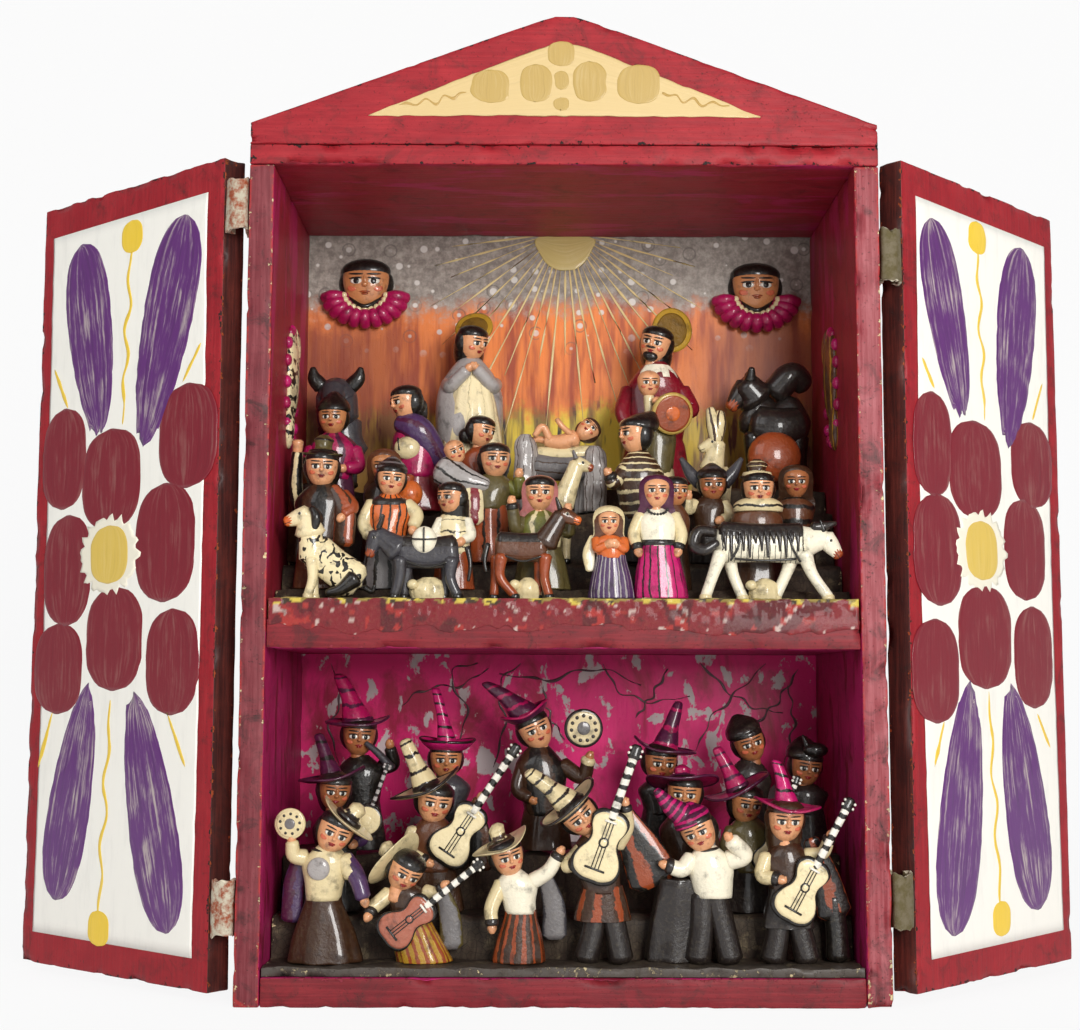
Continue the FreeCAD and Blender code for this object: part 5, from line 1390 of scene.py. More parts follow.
    def muzzle(self, depth, path, half, coat, tip, ears, ear_paint=None, neck=None):
        """Animal's neck from its base to the poll, head down to the nose, ears, eyes and painted muzzle."""
        base, poll, nose = (np.array((x, depth, z)) for x, z in path)
        self.limb([base, base * 0.5 + poll * 0.5, poll], [half * 1.7, half * 1.3, half * 1.05], neck or coat,
                  12, 16, 0.75)
        self.limb([poll, poll * 0.5 + nose * 0.5, nose], [half * 1.05, half * 0.92, half * 0.62], coat, 14,
                  16, 0.8)
        run = (nose - poll) / np.linalg.norm(nose - poll)
        self.limb([nose - run * half * 0.5, nose + run * half * 0.25], [half * 0.72, half * 0.56], tip, 7, 14,
                  0.85)
        self.limb([nose - run * half * 0.35 + (0, -half * 0.5, -half * 0.25),
                   nose + run * half * 0.3 + (0, -half * 0.4, -half * 0.22)], [0.14, 0.14], "black", 4, 6)
        way = 1 if run[0] > 0 else -1
        for side in (-1, 1):
            eye = poll + run * half * 0.75 + (0, side * half * 0.66, half * 0.28)
            self.ball(eye, (0.75, 0.5, 0.62), "ivory", None, 7, 10)
            self.ball(eye + (way * 0.1, side * 0.25, 0), (0.48, 0.4, 0.5), "black", None, 7, 10)
            if ears:
                root = poll + (-way * half * 0.2, side * half * 0.55, half * 0.7)
                self.limb([root, root + (-way * ears * 0.35, side * ears * 0.15, ears)], [0.85, 0.35],
                          ear_paint or coat, 8, 8)

    def drips(self, row):
        """Dark paint run down an animal's flank in tongues: first x, spacing and count."""
        first, apart, count = row
        for k in range(int(count)):
            x, drop = first + apart * k, 3.2 + 2.6 * math.sin(2.1 * k)
            self.limb([(x, -1.4, 22.9), (x + 0.3, -3.3, 20.4), (x + 0.5, -3.6, 18.6 - drop)],
                      [1.5, 0.95, 0.3], "soot", 9, 8, 0.6)

    def post(self, x, depth, top, half):
        """Rough post of the manger, drawn in at its head."""
        levels = [(0, half, half * 0.8), (top * 0.5, half * 0.9, half * 0.76),
                  (top * 0.86, half * 0.86, half * 0.7), (top, half * 0.42, half * 0.4)]
        self.form((x, depth, 0), levels, "silver", folds=7, fold=(0.10, 0.06), wobble=0.7,
                  mark=("umber", "around", 9, 0.25))

    def made(self, node_name):
        """Object for the whole figure, in place of its CAD node."""
        return settle(node_name + "_moulded", self, paste_paint(), "box", "painted_paste", node_name)


def read_word(word):
    """A table word: points parted by /, numbers parted by commas, one number, a dash for none, or a name."""
    if "/" in word:
        return [read_word(part) for part in word.split("/")]
    if "," in word:
        return tuple(read_word(part) for part in word.split(","))
    if word == "-":
        return None
    try:
        return float(word)
    except ValueError:
        return word


def mould(group):
    """Moulds the figures of one group of the table, each from its rows of parts."""
    (niche, tier, forward), rows = FIGURES[group]
    upper, lower = (UPPER_FLOOR, UPPER_TIERS, UPPER_STEP), (LOWER_FLOOR, LOWER_TIERS, LOWER_STEP)
    floor, tiers, deep = upper if niche == "upper" else lower
    figures = {}
    for row in rows.strip().splitlines():
        kind, *words = row.split()
        if kind == "#":
            figures[words[0]] = who = Figure(LIP + (tier - 0.5) * deep - forward, floor + tiers[tier - 1])
            continue
        named = dict(word.split("=") for word in words if "=" in word)
        values = [read_word(word) for word in words if "=" not in word]
        getattr(who, kind)(*values, **{label: read_word(word) for label, word in named.items()})
    for name, who in figures.items():
        who.made(name)


# Figures further back take the two darker skins, which are painted shade.
FIGURES = {
    # Group: (niche, step, how far forward of the step's middle), then each figure after a # and its parts.
    # A row is a method of Figure and its values in order; points are x, depth, height in mm.
    "front_band": (("lower", 1, 0.0), """
# tambourine_singer
robe -75.5,1,0 -76.2,.5,21 -75,0,36 11.4,5.8,6.2,7.6 umber wool 7 .1 deep=.6 lap=1
ball -77.2,-4.7,29.5 3.6,.9,3.6 silver
ball -75.6,0,34.6 4.9,3.9,.8 black turn=0,0,10
head -72.6,-1.5,40.6 5.6 12,4,24
sombrero wool soot 1.95,1.1 .1,.2 1 .2,.1,.86,.5 at=1.2,.9,.8 size=5.3 lean_over=18
arm -82.2,0,32.5/-85.5,-1,33.5/-86.2,-2.2,38.6 wool 2.5
drum -86.6,-2.8,43.4 4.9 0,0,-6 wool soot 9 grey wool
arm -69.6,0,32/-65.4,-2.5,27/-62.6,-4.4,19.6 violet 2.9
limb -69.8,-.4,32.2/-66.6,-2.2,27.6 3.1,3 wool 8 14
cape -83.4,3.5,33/-86,4.5,24/-86.6,4,13 2.6,3.4,3.4 violet plum 3 .4
# squatting_guitarist
robe -44,1.5,0 -48.6,1,15 -49.4,0,24 8.6,5.6,6,6.8 rust umber 11 .07 deep=.6 mark=ochre,around,18
head -50,-2.4,28.6 5.4 22,14,28
sombrero wool soot 2.05,1.2 0,.2 1 .2,.1,.86,.5 at=-1.2,1.8,.6 size=5.3 turn=-20,-20,-46
arm -55,-.4,21.5/-59.8,-2.2,17.4/-61.2,-4.4,15 wool 2.3 cuff=soot
arm -43.6,-.4,22/-40,-2.2,21.6/-37.4,-5,24.4 wool 2.2 cuff=soot
guitar -49,-6.2,13.6 -27.5,-6.6,30.5 #a8604a 9.2
cape -38.6,2,22/-36,2.6,14/-35.4,2.6,5 2.2,3.4,3.8 olive grey 2 .4
# cream_shirt_dancer
robe -14,1,0 -13.4,.6,16.5 -15.4,0,28.4 8.2,5,5.4,6.6 rust ivory 11 .08 lap=.7 mark=umber,around,14
head -17.6,-1.4,33 5.1 14,6,-14
sombrero wool umber 1.9,1.15 .2,.2 1 .25,.16,.82,.5 at=-.4,.6,.4 size=5.1 lean_over=-12
arm -9.4,0,25.4/-4.6,-1.2,28.6/-1,-2.4,34.6 ivory 2.4 cuff=soot
arm -19.4,0,24.6/-22.6,-1.6,17.4/-22.4,-2.8,11.4 wool 2.3 cuff=soot
cape -5.4,4,26/-2.8,4.5,17/-2.6,4,8 2.4,3.6,4 slate grey 2 .35
# caped_guitarist
boot 10.8,1,19 7.4,0,0 soot 4
boot 14.8,1,19 18.4,0,0 soot 4
robe 12.6,1,13 12.6,.6,24 9,0,39.4 8.8,6.4,6.6,7.4 rust umber 6 .06 deep=.66 mark=umber,around,7
head 5.6,-1.8,45.8 5.6 4,8,-42
sombrero wool soot 1.95,3.1 -.5,.3 4.5 .3,.1,.84,.34 at=-.6,1,.4 size=5.5 rim=soot
arm 5.8,-.6,35/1.4,-2.4,30.6/4.6,-5.8,31.4 wool 2.4 cuff=soot
arm 17.4,-.4,36.6/20.4,-2.4,42.6/19.6,-4.8,50 wool 2.2 cuff=soot
guitar 12.2,-6.4,36.8 22.4,-6,65 cream 11.4
cape 19.4,2.4,46/24.5,2.6,36/29,2.8,26.5 3.6,6.6,8.4 rust black 5 .2
# knit_hat_dancer
boot 44.6,1,21 42.8,0,0 soot 4.2
boot 48.6,1,21 53,0,0 soot 4.2
gown 36.4,4,0 37.4,4,26 10,7 soot 7 .12 deep=.5
trunk 48,.4,21 46.2,0,36 6.6,7.6 ivory
head 43.2,-1.6,41 5.4 -14,2,-24
beanie pink plum .9 5 at=-.8,.4,.6 size=5.7
limb 38.6,-1,46/34,-1.4,49.4/29.8,-1.8,54 4.2,2.9,1.3 pink 16 16 mark=plum,along,6
arm 41,-.6,32.4/37.6,-2.2,29.4/32.4,-3,30.8 ivory 2.7 cuff=soot
arm 52.8,-.4,32/57.4,-1.8,33.8/52.6,-4.4,39.4 ivory 3
ball 46.2,-.8,35.4 3.6,3.4,.8 black turn=0,0,-10
# right_guitarist
boot 69,1,19 66.6,0,0 soot 4.1
boot 73,1,19 77.6,0,0 soot 4.1
boot 86.5,5,20 88,4.5,0 black 3.8
robe 71.6,.8,11 71.8,.4,23.5 71.4,0,37.6 8.4,6.2,6.4,7.4 soot umber 6 .08 deep=.66
head 71,-1.6,44.6 5.6 2,4,3 hair=umber long=12
sombrero pink black 1.9,2.5 -.9,.2 3.5 .2,.12,.72,.3 at=0,.8,.6 size=5.5 lean_over=5 rim=magenta
arm 65,-.4,33.4/63.2,-2.4,27.6/68.4,-5.6,26.6 wool 2.4 cuff=soot
arm 77.6,-.4,33.6/82.4,-2.2,34.6/84.6,-5,40.2 wool 2.2 cuff=soot
guitar 75.2,-6.4,23.2 89.6,-6,49 cream 10.4
cape 79.6,2.2,38/83.6,2.4,27/86.8,2.6,15.5 2.6,4.6,5.6 rust black 4 .24"""),
    "middle_band": (("lower", 2, 1.5), """
# banjo_player
robe -74,0,0 -74,0,16 -74.6,0,32 8.4,6,6.6,8 black black 7 .08
head -75,-1.4,38.8 5.2 16,6,6 skin=dusky hair=soot long=6
sombrero plum black 2.1,2.9 -.5,.2 3 .25,.14,.7,.3 at=-.4,.8,.4 size=5.2 turn=-10,0,-10 rim=plum
arm -68,-.6,29.6/-65.6,-2.4,24/-68,-5.2,22 violet 2.4
guitar -63.8,-5.4,29.6 -57.6,-5.6,46.4 wool 5.4 thick=2.2 strings=soot fan=silver
drum -63.8,-6.4,29.6 5.2 0,0,20 wool soot 0 wool soot
# tall_hat_guitarist
robe -41,0,0 -41.6,0,15 -42.4,0,30 9,6.4,6.8,8 umber brown 7 .08
head -42,-1.8,35.2 5.8 12,6,10
sombrero wool soot 2.15,3.1 -.1,.25 3.5 .3,.14,.8,.36 at=-1,1,.8 size=5.6 turn=0,4,-24 rim=soot
arm -48.6,-.6,26.2/-50.4,-2.6,19.6/-43.8,-5,16 wool 2.4 cuff=soot
arm -35.6,-.6,26.8/-31,-2.6,30.6/-26.6,-4.8,37 brown 2.2
guitar -33.8,-6.4,25.2 -16.4,-6,51.4 cream 10.6
cape -30,2,34/-27.4,2.2,25/-26.6,2.4,14 2.4,3.6,4.2 brown black 3 .26
# flat_hat_woman
robe 40,0,0 40,0,16 40.2,0,32 8.6,6.2,6.6,8 soot umber 7 .08
head 40.4,-1.4,38 5.6 -4,4,4 skin=tan long=6
sombrero magenta plum 2.15,.9 0,.2 1 .1,.14,.8,.5 at=-.4,.6,.4 size=5.5 turn=0,-14,0 rim=plum
arm 46.8,-.5,28/49.6,-2,22/47.4,-4,17 umber 2.4
# far_guitarist
robe 62,0,0 62,0,15 61.4,0,30 8.6,6.2,6.6,8 soot olive 7 .08
head 60.8,-1.4,34.8 5.3 14,6,8 skin=tan long=4
sombrero magenta plum 2.1,2.9 -.2,.2 4 .25,.14,.72,.3 at=-.8,.6,1.2 size=5.3 turn=0,2,-24 rim=plum
arm 56.2,-.5,26.5/54,-2.4,20.5/59.4,-4.8,18.4 olive 2.3
guitar 68.4,-5,20.4 76.6,-5,42 wool 7.4"""),
    "back_band": (("lower", 3, 2.0), """
# flute_player
robe -68.4,0,0 -68.4,0,16 -68.8,0,31 8.8,6.4,6.8,8.6 black black 7 .08
head -69.2,-1.6,38.2 5.6 8,2,4 skin=dusky
sombrero magenta plum 1.95,3 -1,.2 3.5 .2,.12,.95,.4 at=-.4,.8,.6 size=5.5 turn=0,4,-3 rim=plum
arm -61.6,-.6,27.6/-57.4,-2.4,29/-58.4,-4.6,35.2 black 2.4 skin=tan
limb -66.4,-6.2,36/-62.6,-6.4,33/-57.4,-6.6,27.6 .9,1.2,1.5 slate 12 10
# thin_hat_woman
robe -38.8,0,0 -38.8,0,14 -39,0,25 8.4,6.2,6.4,8 black slate 7 .08
head -39.4,-1.6,30.2 5.4 6,2,2 skin=tan
sombrero pink black 1.75,3.7 -.9,.2 6 .55,.08,.62,.26 at=.2,.8,.4 size=5.4 turn=0,2,2 rim=black
# high_tambourine_player
robe -5.6,0,0 -5.6,0,14 -7.6,0,34.4 9,7,7.4,9 umber umber 7 .08 top_mark=black,around,5
head -8.8,-1.6,40.4 5.6 10,4,-24
sombrero plum magenta 1.5,3 -1.5,.2 4 .5,.14,.95,.26 at=-1,.8,.8 size=5.6 rim=magenta
arm .6,-.6,28.6/7.4,-2.2,24.6/9.6,-4.8,31.4 umber 2.6 skin=tan cuff=wool
arm -12.8,-.6,28.6/-14.8,-2.4,20.6/-9.8,-4.6,17 umber 2.5 skin=tan
drum 7.6,-5.6,41.2 6.6 4,0,8 wool soot 11 grey soot
# purple_hat_singer
robe 34.4,0,0 34.4,0,14 34.2,0,24 8.4,6.2,6.4,8 black soot 7 .08
head 34,-1.6,29.4 5.6 10,6,6 skin=dusky
sombrero plum magenta 1.95,3.1 .3,.2 3 .25,.16,.8,.26 at=.6,.8,.6 size=5.5 turn=0,2,12 rim=plum
# back_singers
robe 64.6,0,0 64.6,0,14 64.6,0,30 8,6,6.2,7.8 black soot 7 .08
head 64.6,-1.6,36 5.3 6,6,-18 skin=dusky
beanie soot black .9 3 at=-.6,.6,1.4 size=5.8 turn=0,2,-26
robe 84,0,0 84,0,14 84,0,22 8,6,6.2,7.8 black soot 7 .08
head 84,-1.6,28 5.3 6,6,8 skin=dusky
beanie soot black .9 3 at=-.6,.6,1.4 size=5.8 turn=0,2,0
ball 86.5,-6,34 4.4,2.6,2.6 black
limb 84,-6,34.6/82.2,-6,39 1.4,.4 black 6 8"""),
    "herd": (("upper", 1, 0.0), """
# spotted_dog
body .6 -79.6,14.5/-73.6,10/-67.4,5.6 6.2 cream - .6 spots=black,1
limb -80.8,0,13/-81.6,0,19/-82.6,0,25.6 4.6,3.9,3.3 cream 14 16 flat=.72 spots=black,1
muzzle 0 -81.8,21/-82.8,27/-89,24.8 3 cream orange 0
limb -81.2,-1.9,29/-79.6,-2.5,26/-80.2,-2.3,21.6 1,1.7,1 black 12 12
leg -1.7 -80.8,12.5/-80.6,6.2/-82,0 cream 1.6 hoof=wool
limb -67,-2.4,6.2/-71.4,-3,2.6/-75.6,-2.8,1.4 3,1.9,1.3 black 12 14
limb -81.2,1.9,29/-79.6,2.5,26/-80.2,2.3,21.6 1,1.7,1 black 12 12
leg 1.7 -80.8,12.5/-80.6,6.2/-80.4,0 cream 1.6 hoof=wool
limb -67,2.4,6.2/-71.4,3,2.6/-75.6,2.8,1.4 3,1.9,1.3 cream 12 14
limb -64,0,3.4/-61.4,-1.2,2/-60.6,-2,4 1.1,.8,.5 black 12 10
# grey_donkey
body 0 -51.6,14.6/-43.8,14.2/-35.6,14.8 5 slate soot .62
muzzle 0 -53.4,15.8/-60.2,20.6/-62.4,14.4 2.7 slate rust 4.4 ear_paint=soot neck=slate
leg -1.9 -52.4,12.4/-52.7,6.4/-54.2,0 slate 1.75
leg 1.9 -50.6,12.4/-50.9,6.4/-51.6,0 slate 1.75
leg -1.9 -36,12.4/-36.3,6.4/-34,0 slate 1.75
leg 1.9 -37.4,12.4/-37.7,6.4/-38.6,0 slate 1.75
limb -31,0,16.4/-30,-.4,11/-30.6,-.4,5.6 1,.7,.5 soot 12 10
ball -44.8,-2,18.6 4.1,2.6,4.5 ivory
limb -44.8,-4.7,22.4/-44.8,-4.9,18.6/-44.8,-4.6,14.6 .3,.3,.3 black 9 6
limb -48.8,-4.2,18.8/-44.8,-4.9,18.6/-40.8,-4.2,18.8 .3,.3,.3 black 9 6
limb -50.4,-3.2,11.6/-43.8,-3.5,9.8/-36.8,-3.2,11.6 .4,.4,.4 black 14 6
# brown_calf
body 0 -7,16.2/-13.4,16.2/-20.4,16.4 4.6 brown soot .62
muzzle 0 -6,18/-.6,27.2/4.6,25.2 2.5 brown orange 3.6 ear_paint=soot neck=umber
leg -1.8 -5.8,13.6/-6.1,6.8/-4.6,0 rust 1.55
leg 1.8 -7.6,13.6/-7.9,6.8/-8.4,0 rust 1.55
leg -1.8 -20,13.6/-20.3,6.8/-15.6,0 rust 1.55
leg 1.8 -21.6,13.6/-21.9,6.8/-22.4,0 rust 1.55
limb -24.4,0,17.6/-25.4,-.6,12.2/-24.8,-.6,8.6 .9,.7,.6 black 12 10
limb -19,-3,13.6/-13.2,-3.2,11.8/-7,-3,13.4 .35,.35,.35 black 14 6
# cream_bull
body 0 76.4,17.6/64.6,17.8/51.6,18 6.2 ivory soot .6 mark=soot,along,15,.32
muzzle 0 78.4,18.6/84.6,19.8/88.6,14.6 3.1 ivory rust 3.4 ear_paint=black neck=ivory
limb 80.6,-.6,23.2/84.2,-.6,23.6/88,-.8,24.6 1.8,1.7,.7 soot 10 12
leg -2 77.6,14.6/80,8/85,0 ivory 1.9 hoof=wool
leg 2 74.6,14.6/72,8/68.6,0 ivory 1.9 hoof=wool
leg -2 50.6,14.6/48.2,8/45.6,0 ivory 1.9 hoof=wool
leg 2 53.6,14.6/55,8/58,0 ivory 1.9 hoof=wool
limb 48.8,-.4,21.6/43.6,-1.6,21.6/42,-2.2,17.2/45.2,-3.2,15.6/49.4,-3.6,18 1.7,1.9,2,1.9,1.2 soot 26 14
drips 51.5,1.95,13
limb 72.2,-3.7,20.8/73.6,-3.9,16/76,-3.2,11.8 .4,.4,.4 black 12 6
limb 56.6,-3.7,20.8/56,-3.9,16.4/53.6,-3.4,12.2 .4,.4,.4 black 12 6
limb 55,-3,12.8/64.4,-3.4,12.2/74.6,-3,12.8 .4,.4,.4 black 12 6
# resting_sheep
form -43.4,1.6,-.2 0,5.6,2.8/2.4,5.88,3.2/5,4.82,2.8/7,1.68,1.2 wool folds=11 fold=.07,.05 wobble=.5
ball -48.55,-.2,4.4 1.9,1.6,1.7 wool
form -11.6,1.6,-.2 0,4.4,2.8/2.4,4.62,3.2/5,3.78,2.8/7,1.32,1.2 wool folds=11 fold=.07,.05 wobble=.5
ball -15.65,-.2,4.4 1.9,1.6,1.7 wool
form 65,1.6,-.2 0,4.8,2.8/2.4,5.04,3.2/5,4.13,2.8/7,1.44,1.2 wool folds=11 fold=.07,.05 wobble=.5
ball 60.58,-.2,4.4 1.9,1.6,1.7 wool"""),
    "front_women": (("upper", 1, 0.0), """
# girl_in_veil
robe 15.6,0,0 15.4,0,14 14.8,0,20.6 7.4,4.8,4.8,5.4 violet orange 12 .09 lap=.8 mark=silver,around,24,.5
head 14.6,-1.6,24.6 3.6 0,2,0 hair=-
shawl brown 1.9 1.25 at=0,.6,.2 size=3.9
shawl wool 1.9 1.25 at=0,1,.4 size=4.25
cape 9.8,1,20/8.2,.8,14.6/8.8,.8,9.4 1.4,2,1.6 wool ivory 1 .5
arm 10.6,-.4,19/10.8,-2.4,16/14.6,-4.2,17.4 orange 1.5
arm 19.4,-.4,19/19.6,-2.4,16/16.4,-4.2,17.4 orange 1.5
# woman_in_pink_skirt
robe 31.4,0,0 30.6,0,18 30.2,0,29 8.4,5.8,5.8,6.4 pink ivory 12 .09 lap=.8 mark=black,around,17,.42
form 30.6,0,17 0,6.1,4.9/.9,6.3,5/1.8,6,4.8 black
head 30,-1.8,34.4 4.4 0,0,0 hair=-
shawl plum 1.7 1.2 at=0,.6,.2 size=4.7
arm 25.2,.2,27/22.8,-1,21/24,-2.4,15.4 wool 2.1 cuff=black
arm 35.6,.2,27/38,-1,21/36.8,-2.4,15.4 wool 2.1 cuff=black
ball 33.36,-3.8,28.39 .5,.4,.5 black rows=5 around=8
ball 32.85,-3.8,27.82 .5,.4,.5 black rows=5 around=8
ball 32.11,-3.8,27.38 .5,.4,.5 black rows=5 around=8
ball 31.2,-3.8,27.1 .5,.4,.5 black rows=5 around=8
ball 30.2,-3.8,27 .5,.4,.5 black rows=5 around=8
ball 29.2,-3.8,27.1 .5,.4,.5 black rows=5 around=8
ball 28.29,-3.8,27.38 .5,.4,.5 black rows=5 around=8
ball 27.55,-3.8,27.82 .5,.4,.5 black rows=5 around=8
ball 27.04,-3.8,28.39 .5,.4,.5 black rows=5 around=8"""),
    "second_row": (("upper", 2, 1.0), """
# olive_hat_shepherd
robe -80,0,0 -80,0,18 -79.6,0,34.8 9,7,7.4,9 brown umber 8 .08 top_mark=black,around,6
cape -76,-3.2,33/-72,-4.2,26/-72,-4.2,15 2.4,3.6,3.6 rust umber 3 .5
head -79.8,-2,40 5.3 6,2,2 long=6
sombrero olive black 1.3,1.15 0,.2 1.5 .15,.06,.9,.62 at=0,1.2,.6 size=5.2
arm -73,-.6,31/-69.6,-3,27/-72.6,-5.4,23.4 rust 2.4
# knit_cap_man
robe -58,0,0 -58,0,18 -57.2,0,31.4 8.6,6.4,6.6,7.6 grey orange 9 .09 \
mark=black,around,11,.5 top_mark=black,around,15,.5
form -57.4,0,27.6 0,6.6,5/1.6,6.4,4.6/3.4,3.8,3 soot
head -56.8,-1.8,36.2 4.6 8,2,4
beanie grey soot .9 5 at=0,.6,.6 size=4.8
arm -62.8,0,28.4/-65.6,-1.4,22/-63.2,-3.2,16.8 wool 2.5 cuff=wool
arm -51.8,0,28/-48.4,-1.6,24.6/-49.4,-3.8,19.6 wool 2.4
# long_haired_woman
robe -36,0,0 -36,0,13 -36.2,0,26 6.8,5.2,5.4,6 rust cream 9 .08 lap=1 top_mark=black,along,4,.24
head -37,-1.6,30.2 4.5 -38,2,0 long=17
arm -40,-.5,22.8/-42.2,-2,18/-40.4,-4,15.6 ivory 1.9
arm -32,-.5,22.8/-30.4,-2,18/-33.4,-4,15.6 ivory 1.9
# pink_scarf_woman
robe -6.8,0,0 -7,0,14 -7.4,0,26.4 9,6.6,6.6,7.2 olive moss 8 .08 lap=1 top_mark=wool,around,8,.6
head -7.6,-2,31.8 4.9 0,2,0
shawl #b8716e 1.8 1.3 at=0,.8,.2 size=5
arm -13.2,-.4,22.6/-15.4,-2.6,20.2/-16.8,-4.4,28.6 olive 2.3 cuff=black
arm -1,-.4,22.6/1.8,-2.4,19/1.6,-4.2,26.2 olive 2.3 cuff=black
# brown_hat_shepherd
robe 64.4,0,0 64.4,0,14 64.6,0,28.6 8.6,7,7.2,8.6 umber brown 8 .08 lap=1
head 64.8,-2,33.4 5 0,2,0
sombrero umber wool 1.2,1 0,.1 3 .1,.05,.95,.7 at=-.2,1.2,.6 size=4.9
form 64.8,-.6,26 0,8,5.6/1.6,8.4,6/3.2,7.4,5.6/4.6,5,4.2 wool mark=black,along,1.5,.5"""),
    "third_row": (("upper", 3, 1.0), """
# onlookers_left
robe -88,0,0 -88,0,15 -87.6,0,27 5.2,4.8,5,5.4 umber brown 7 .08 lap=1
head -88,-1,31 4 -10,2,0 skin=tan
limb -88.6,-4,16/-89.6,-8,24/-88.8,-11,36 2.4,2.5,1.9 wool 18 14 mark=black,around,4
limb -88.8,-11,36/-88.6,-11.6,39.6 1.6,2 skin 7 12
robe -60.8,-.5,0 -60.8,-.5,15 -60.6,-.5,28 7.6,6,6.2,7 brown umber 8 .08 lap=1
head -60.4,-2.1,32.4 4.6 0,6,0 skin=tan hair=-
shawl brown 2 1.35 at=0,.6,.4 size=4.9
ball -51.6,-6,22.8 4.6,4,4.8 orange
limb -52,-6,26.8/-52.2,-6,28.4 2,2.4 rust 6 14
arm -55.6,-1,25/-52.6,-3.5,20.6/-53.4,-8.1,19.8 brown 2
# mother_with_child
robe -25,0,0 -25.2,0,20 -23.4,0,30 8.6,6.8,7,7.8 rust olive 9 .08 mark=black,around,9,.4
cape -30.6,-3.6,28/-30.8,-4.6,21/-30.8,-4.4,14 3.4,4.6,4.6 cream crimson 5 .5
head -22.8,-2,34.8 5 14,0,0 long=6
limb -40.4,-1,32/-34.6,-3.4,28.4/-25.4,-4.6,26 5.6,5,2.2 silver 22 22 flat=.72 mark=black,around,7,.4
head -36.4,-3.2,37.6 3.5 18,10,-24 hair=- neck=0
arm -17.6,-.6,26.6/-14.4,-2.4,23.6/-14.6,-4.8,29.6 moss 2.3
# manger_lamb
body 0 0,15.8/-5,13/-9.6,12.6 4.8 wool - .7
muzzle 0 0,20/5.2,34/9.6,32.6 2.5 wool rust 2.6 ear_paint=grey neck=wool
leg -1.8 1.4,11/1.4,5.4/1.4,0 wool 1.5
leg 1.8 -.6,11/-.6,5.4/-.6,0 wool 1.5
leg -1.8 -8.4,11/-8.4,5.4/-8.4,0 wool 1.5
leg 1.8 -10,11/-10,5.4/-10,0 wool 1.5
# striped_poncho_shepherd
robe 26.6,-2,0 26.6,-2,17 26,-2,37 8.4,6.8,7.2,8.6 soot umber 8 .08 top_mark=wool,along,8,.5
head 24.6,-3,43.4 5.2 -62,0,0
beanie soot black 1 3 at=.8,.4,.6 size=5.6 turn=0,0,14 lean=.5,.3
arm 22,-3.6,31.6/17.4,-5.6,27/15.6,-6.6,29.8 umber 2.5 cuff=black mark=wool,along,4,.5
# onlookers_right
robe 37,-14.2,-10 37,-14.2,4 37.2,-14.2,18.4 5.4,4.4,4.6,5.2 umber brown 7 .08 lap=1
head 37.4,-14.8,22.8 4.2 20,2,0 skin=tan long=8
robe 50.2,0,0 50.2,0,13 50.6,0,22.6 6.6,5.2,5.6,6.4 soot umber 7 .08 lap=1
head 51.2,-1.6,26.6 4.5 0,4,0 skin=dusky
beanie slate black .8 3 at=0,.6,.6 size=4.8
limb 47.6,3,27.6/44.4,3.2,31/41,3.4,36.4 2.4,2.2,.8 slate 14 14 flat=.6
limb 55.6,3,27.6/58.4,3.2,31/61.8,3.4,36.4 2.4,2.2,.8 slate 14 14 flat=.6
arm 45.4,-.6,20.4/42.8,-2.6,18/42.6,-4,22.4 wool 1.9
arm 55.2,-.6,20.4/56.8,-2.6,16/53.4,-4.4,14.4 wool 1.9
robe 79.2,0,0 79.2,0,13 79.4,0,22.8 7,5.8,6,7 umber brown 7 .08 lap=1 top_mark=black,along,3,.6
head 79.6,-1.8,27.6 4.6 -6,4,0 skin=dusky hair=-
shawl umber 1.8 1.25 at=0,.6,.3 size=4.9"""),
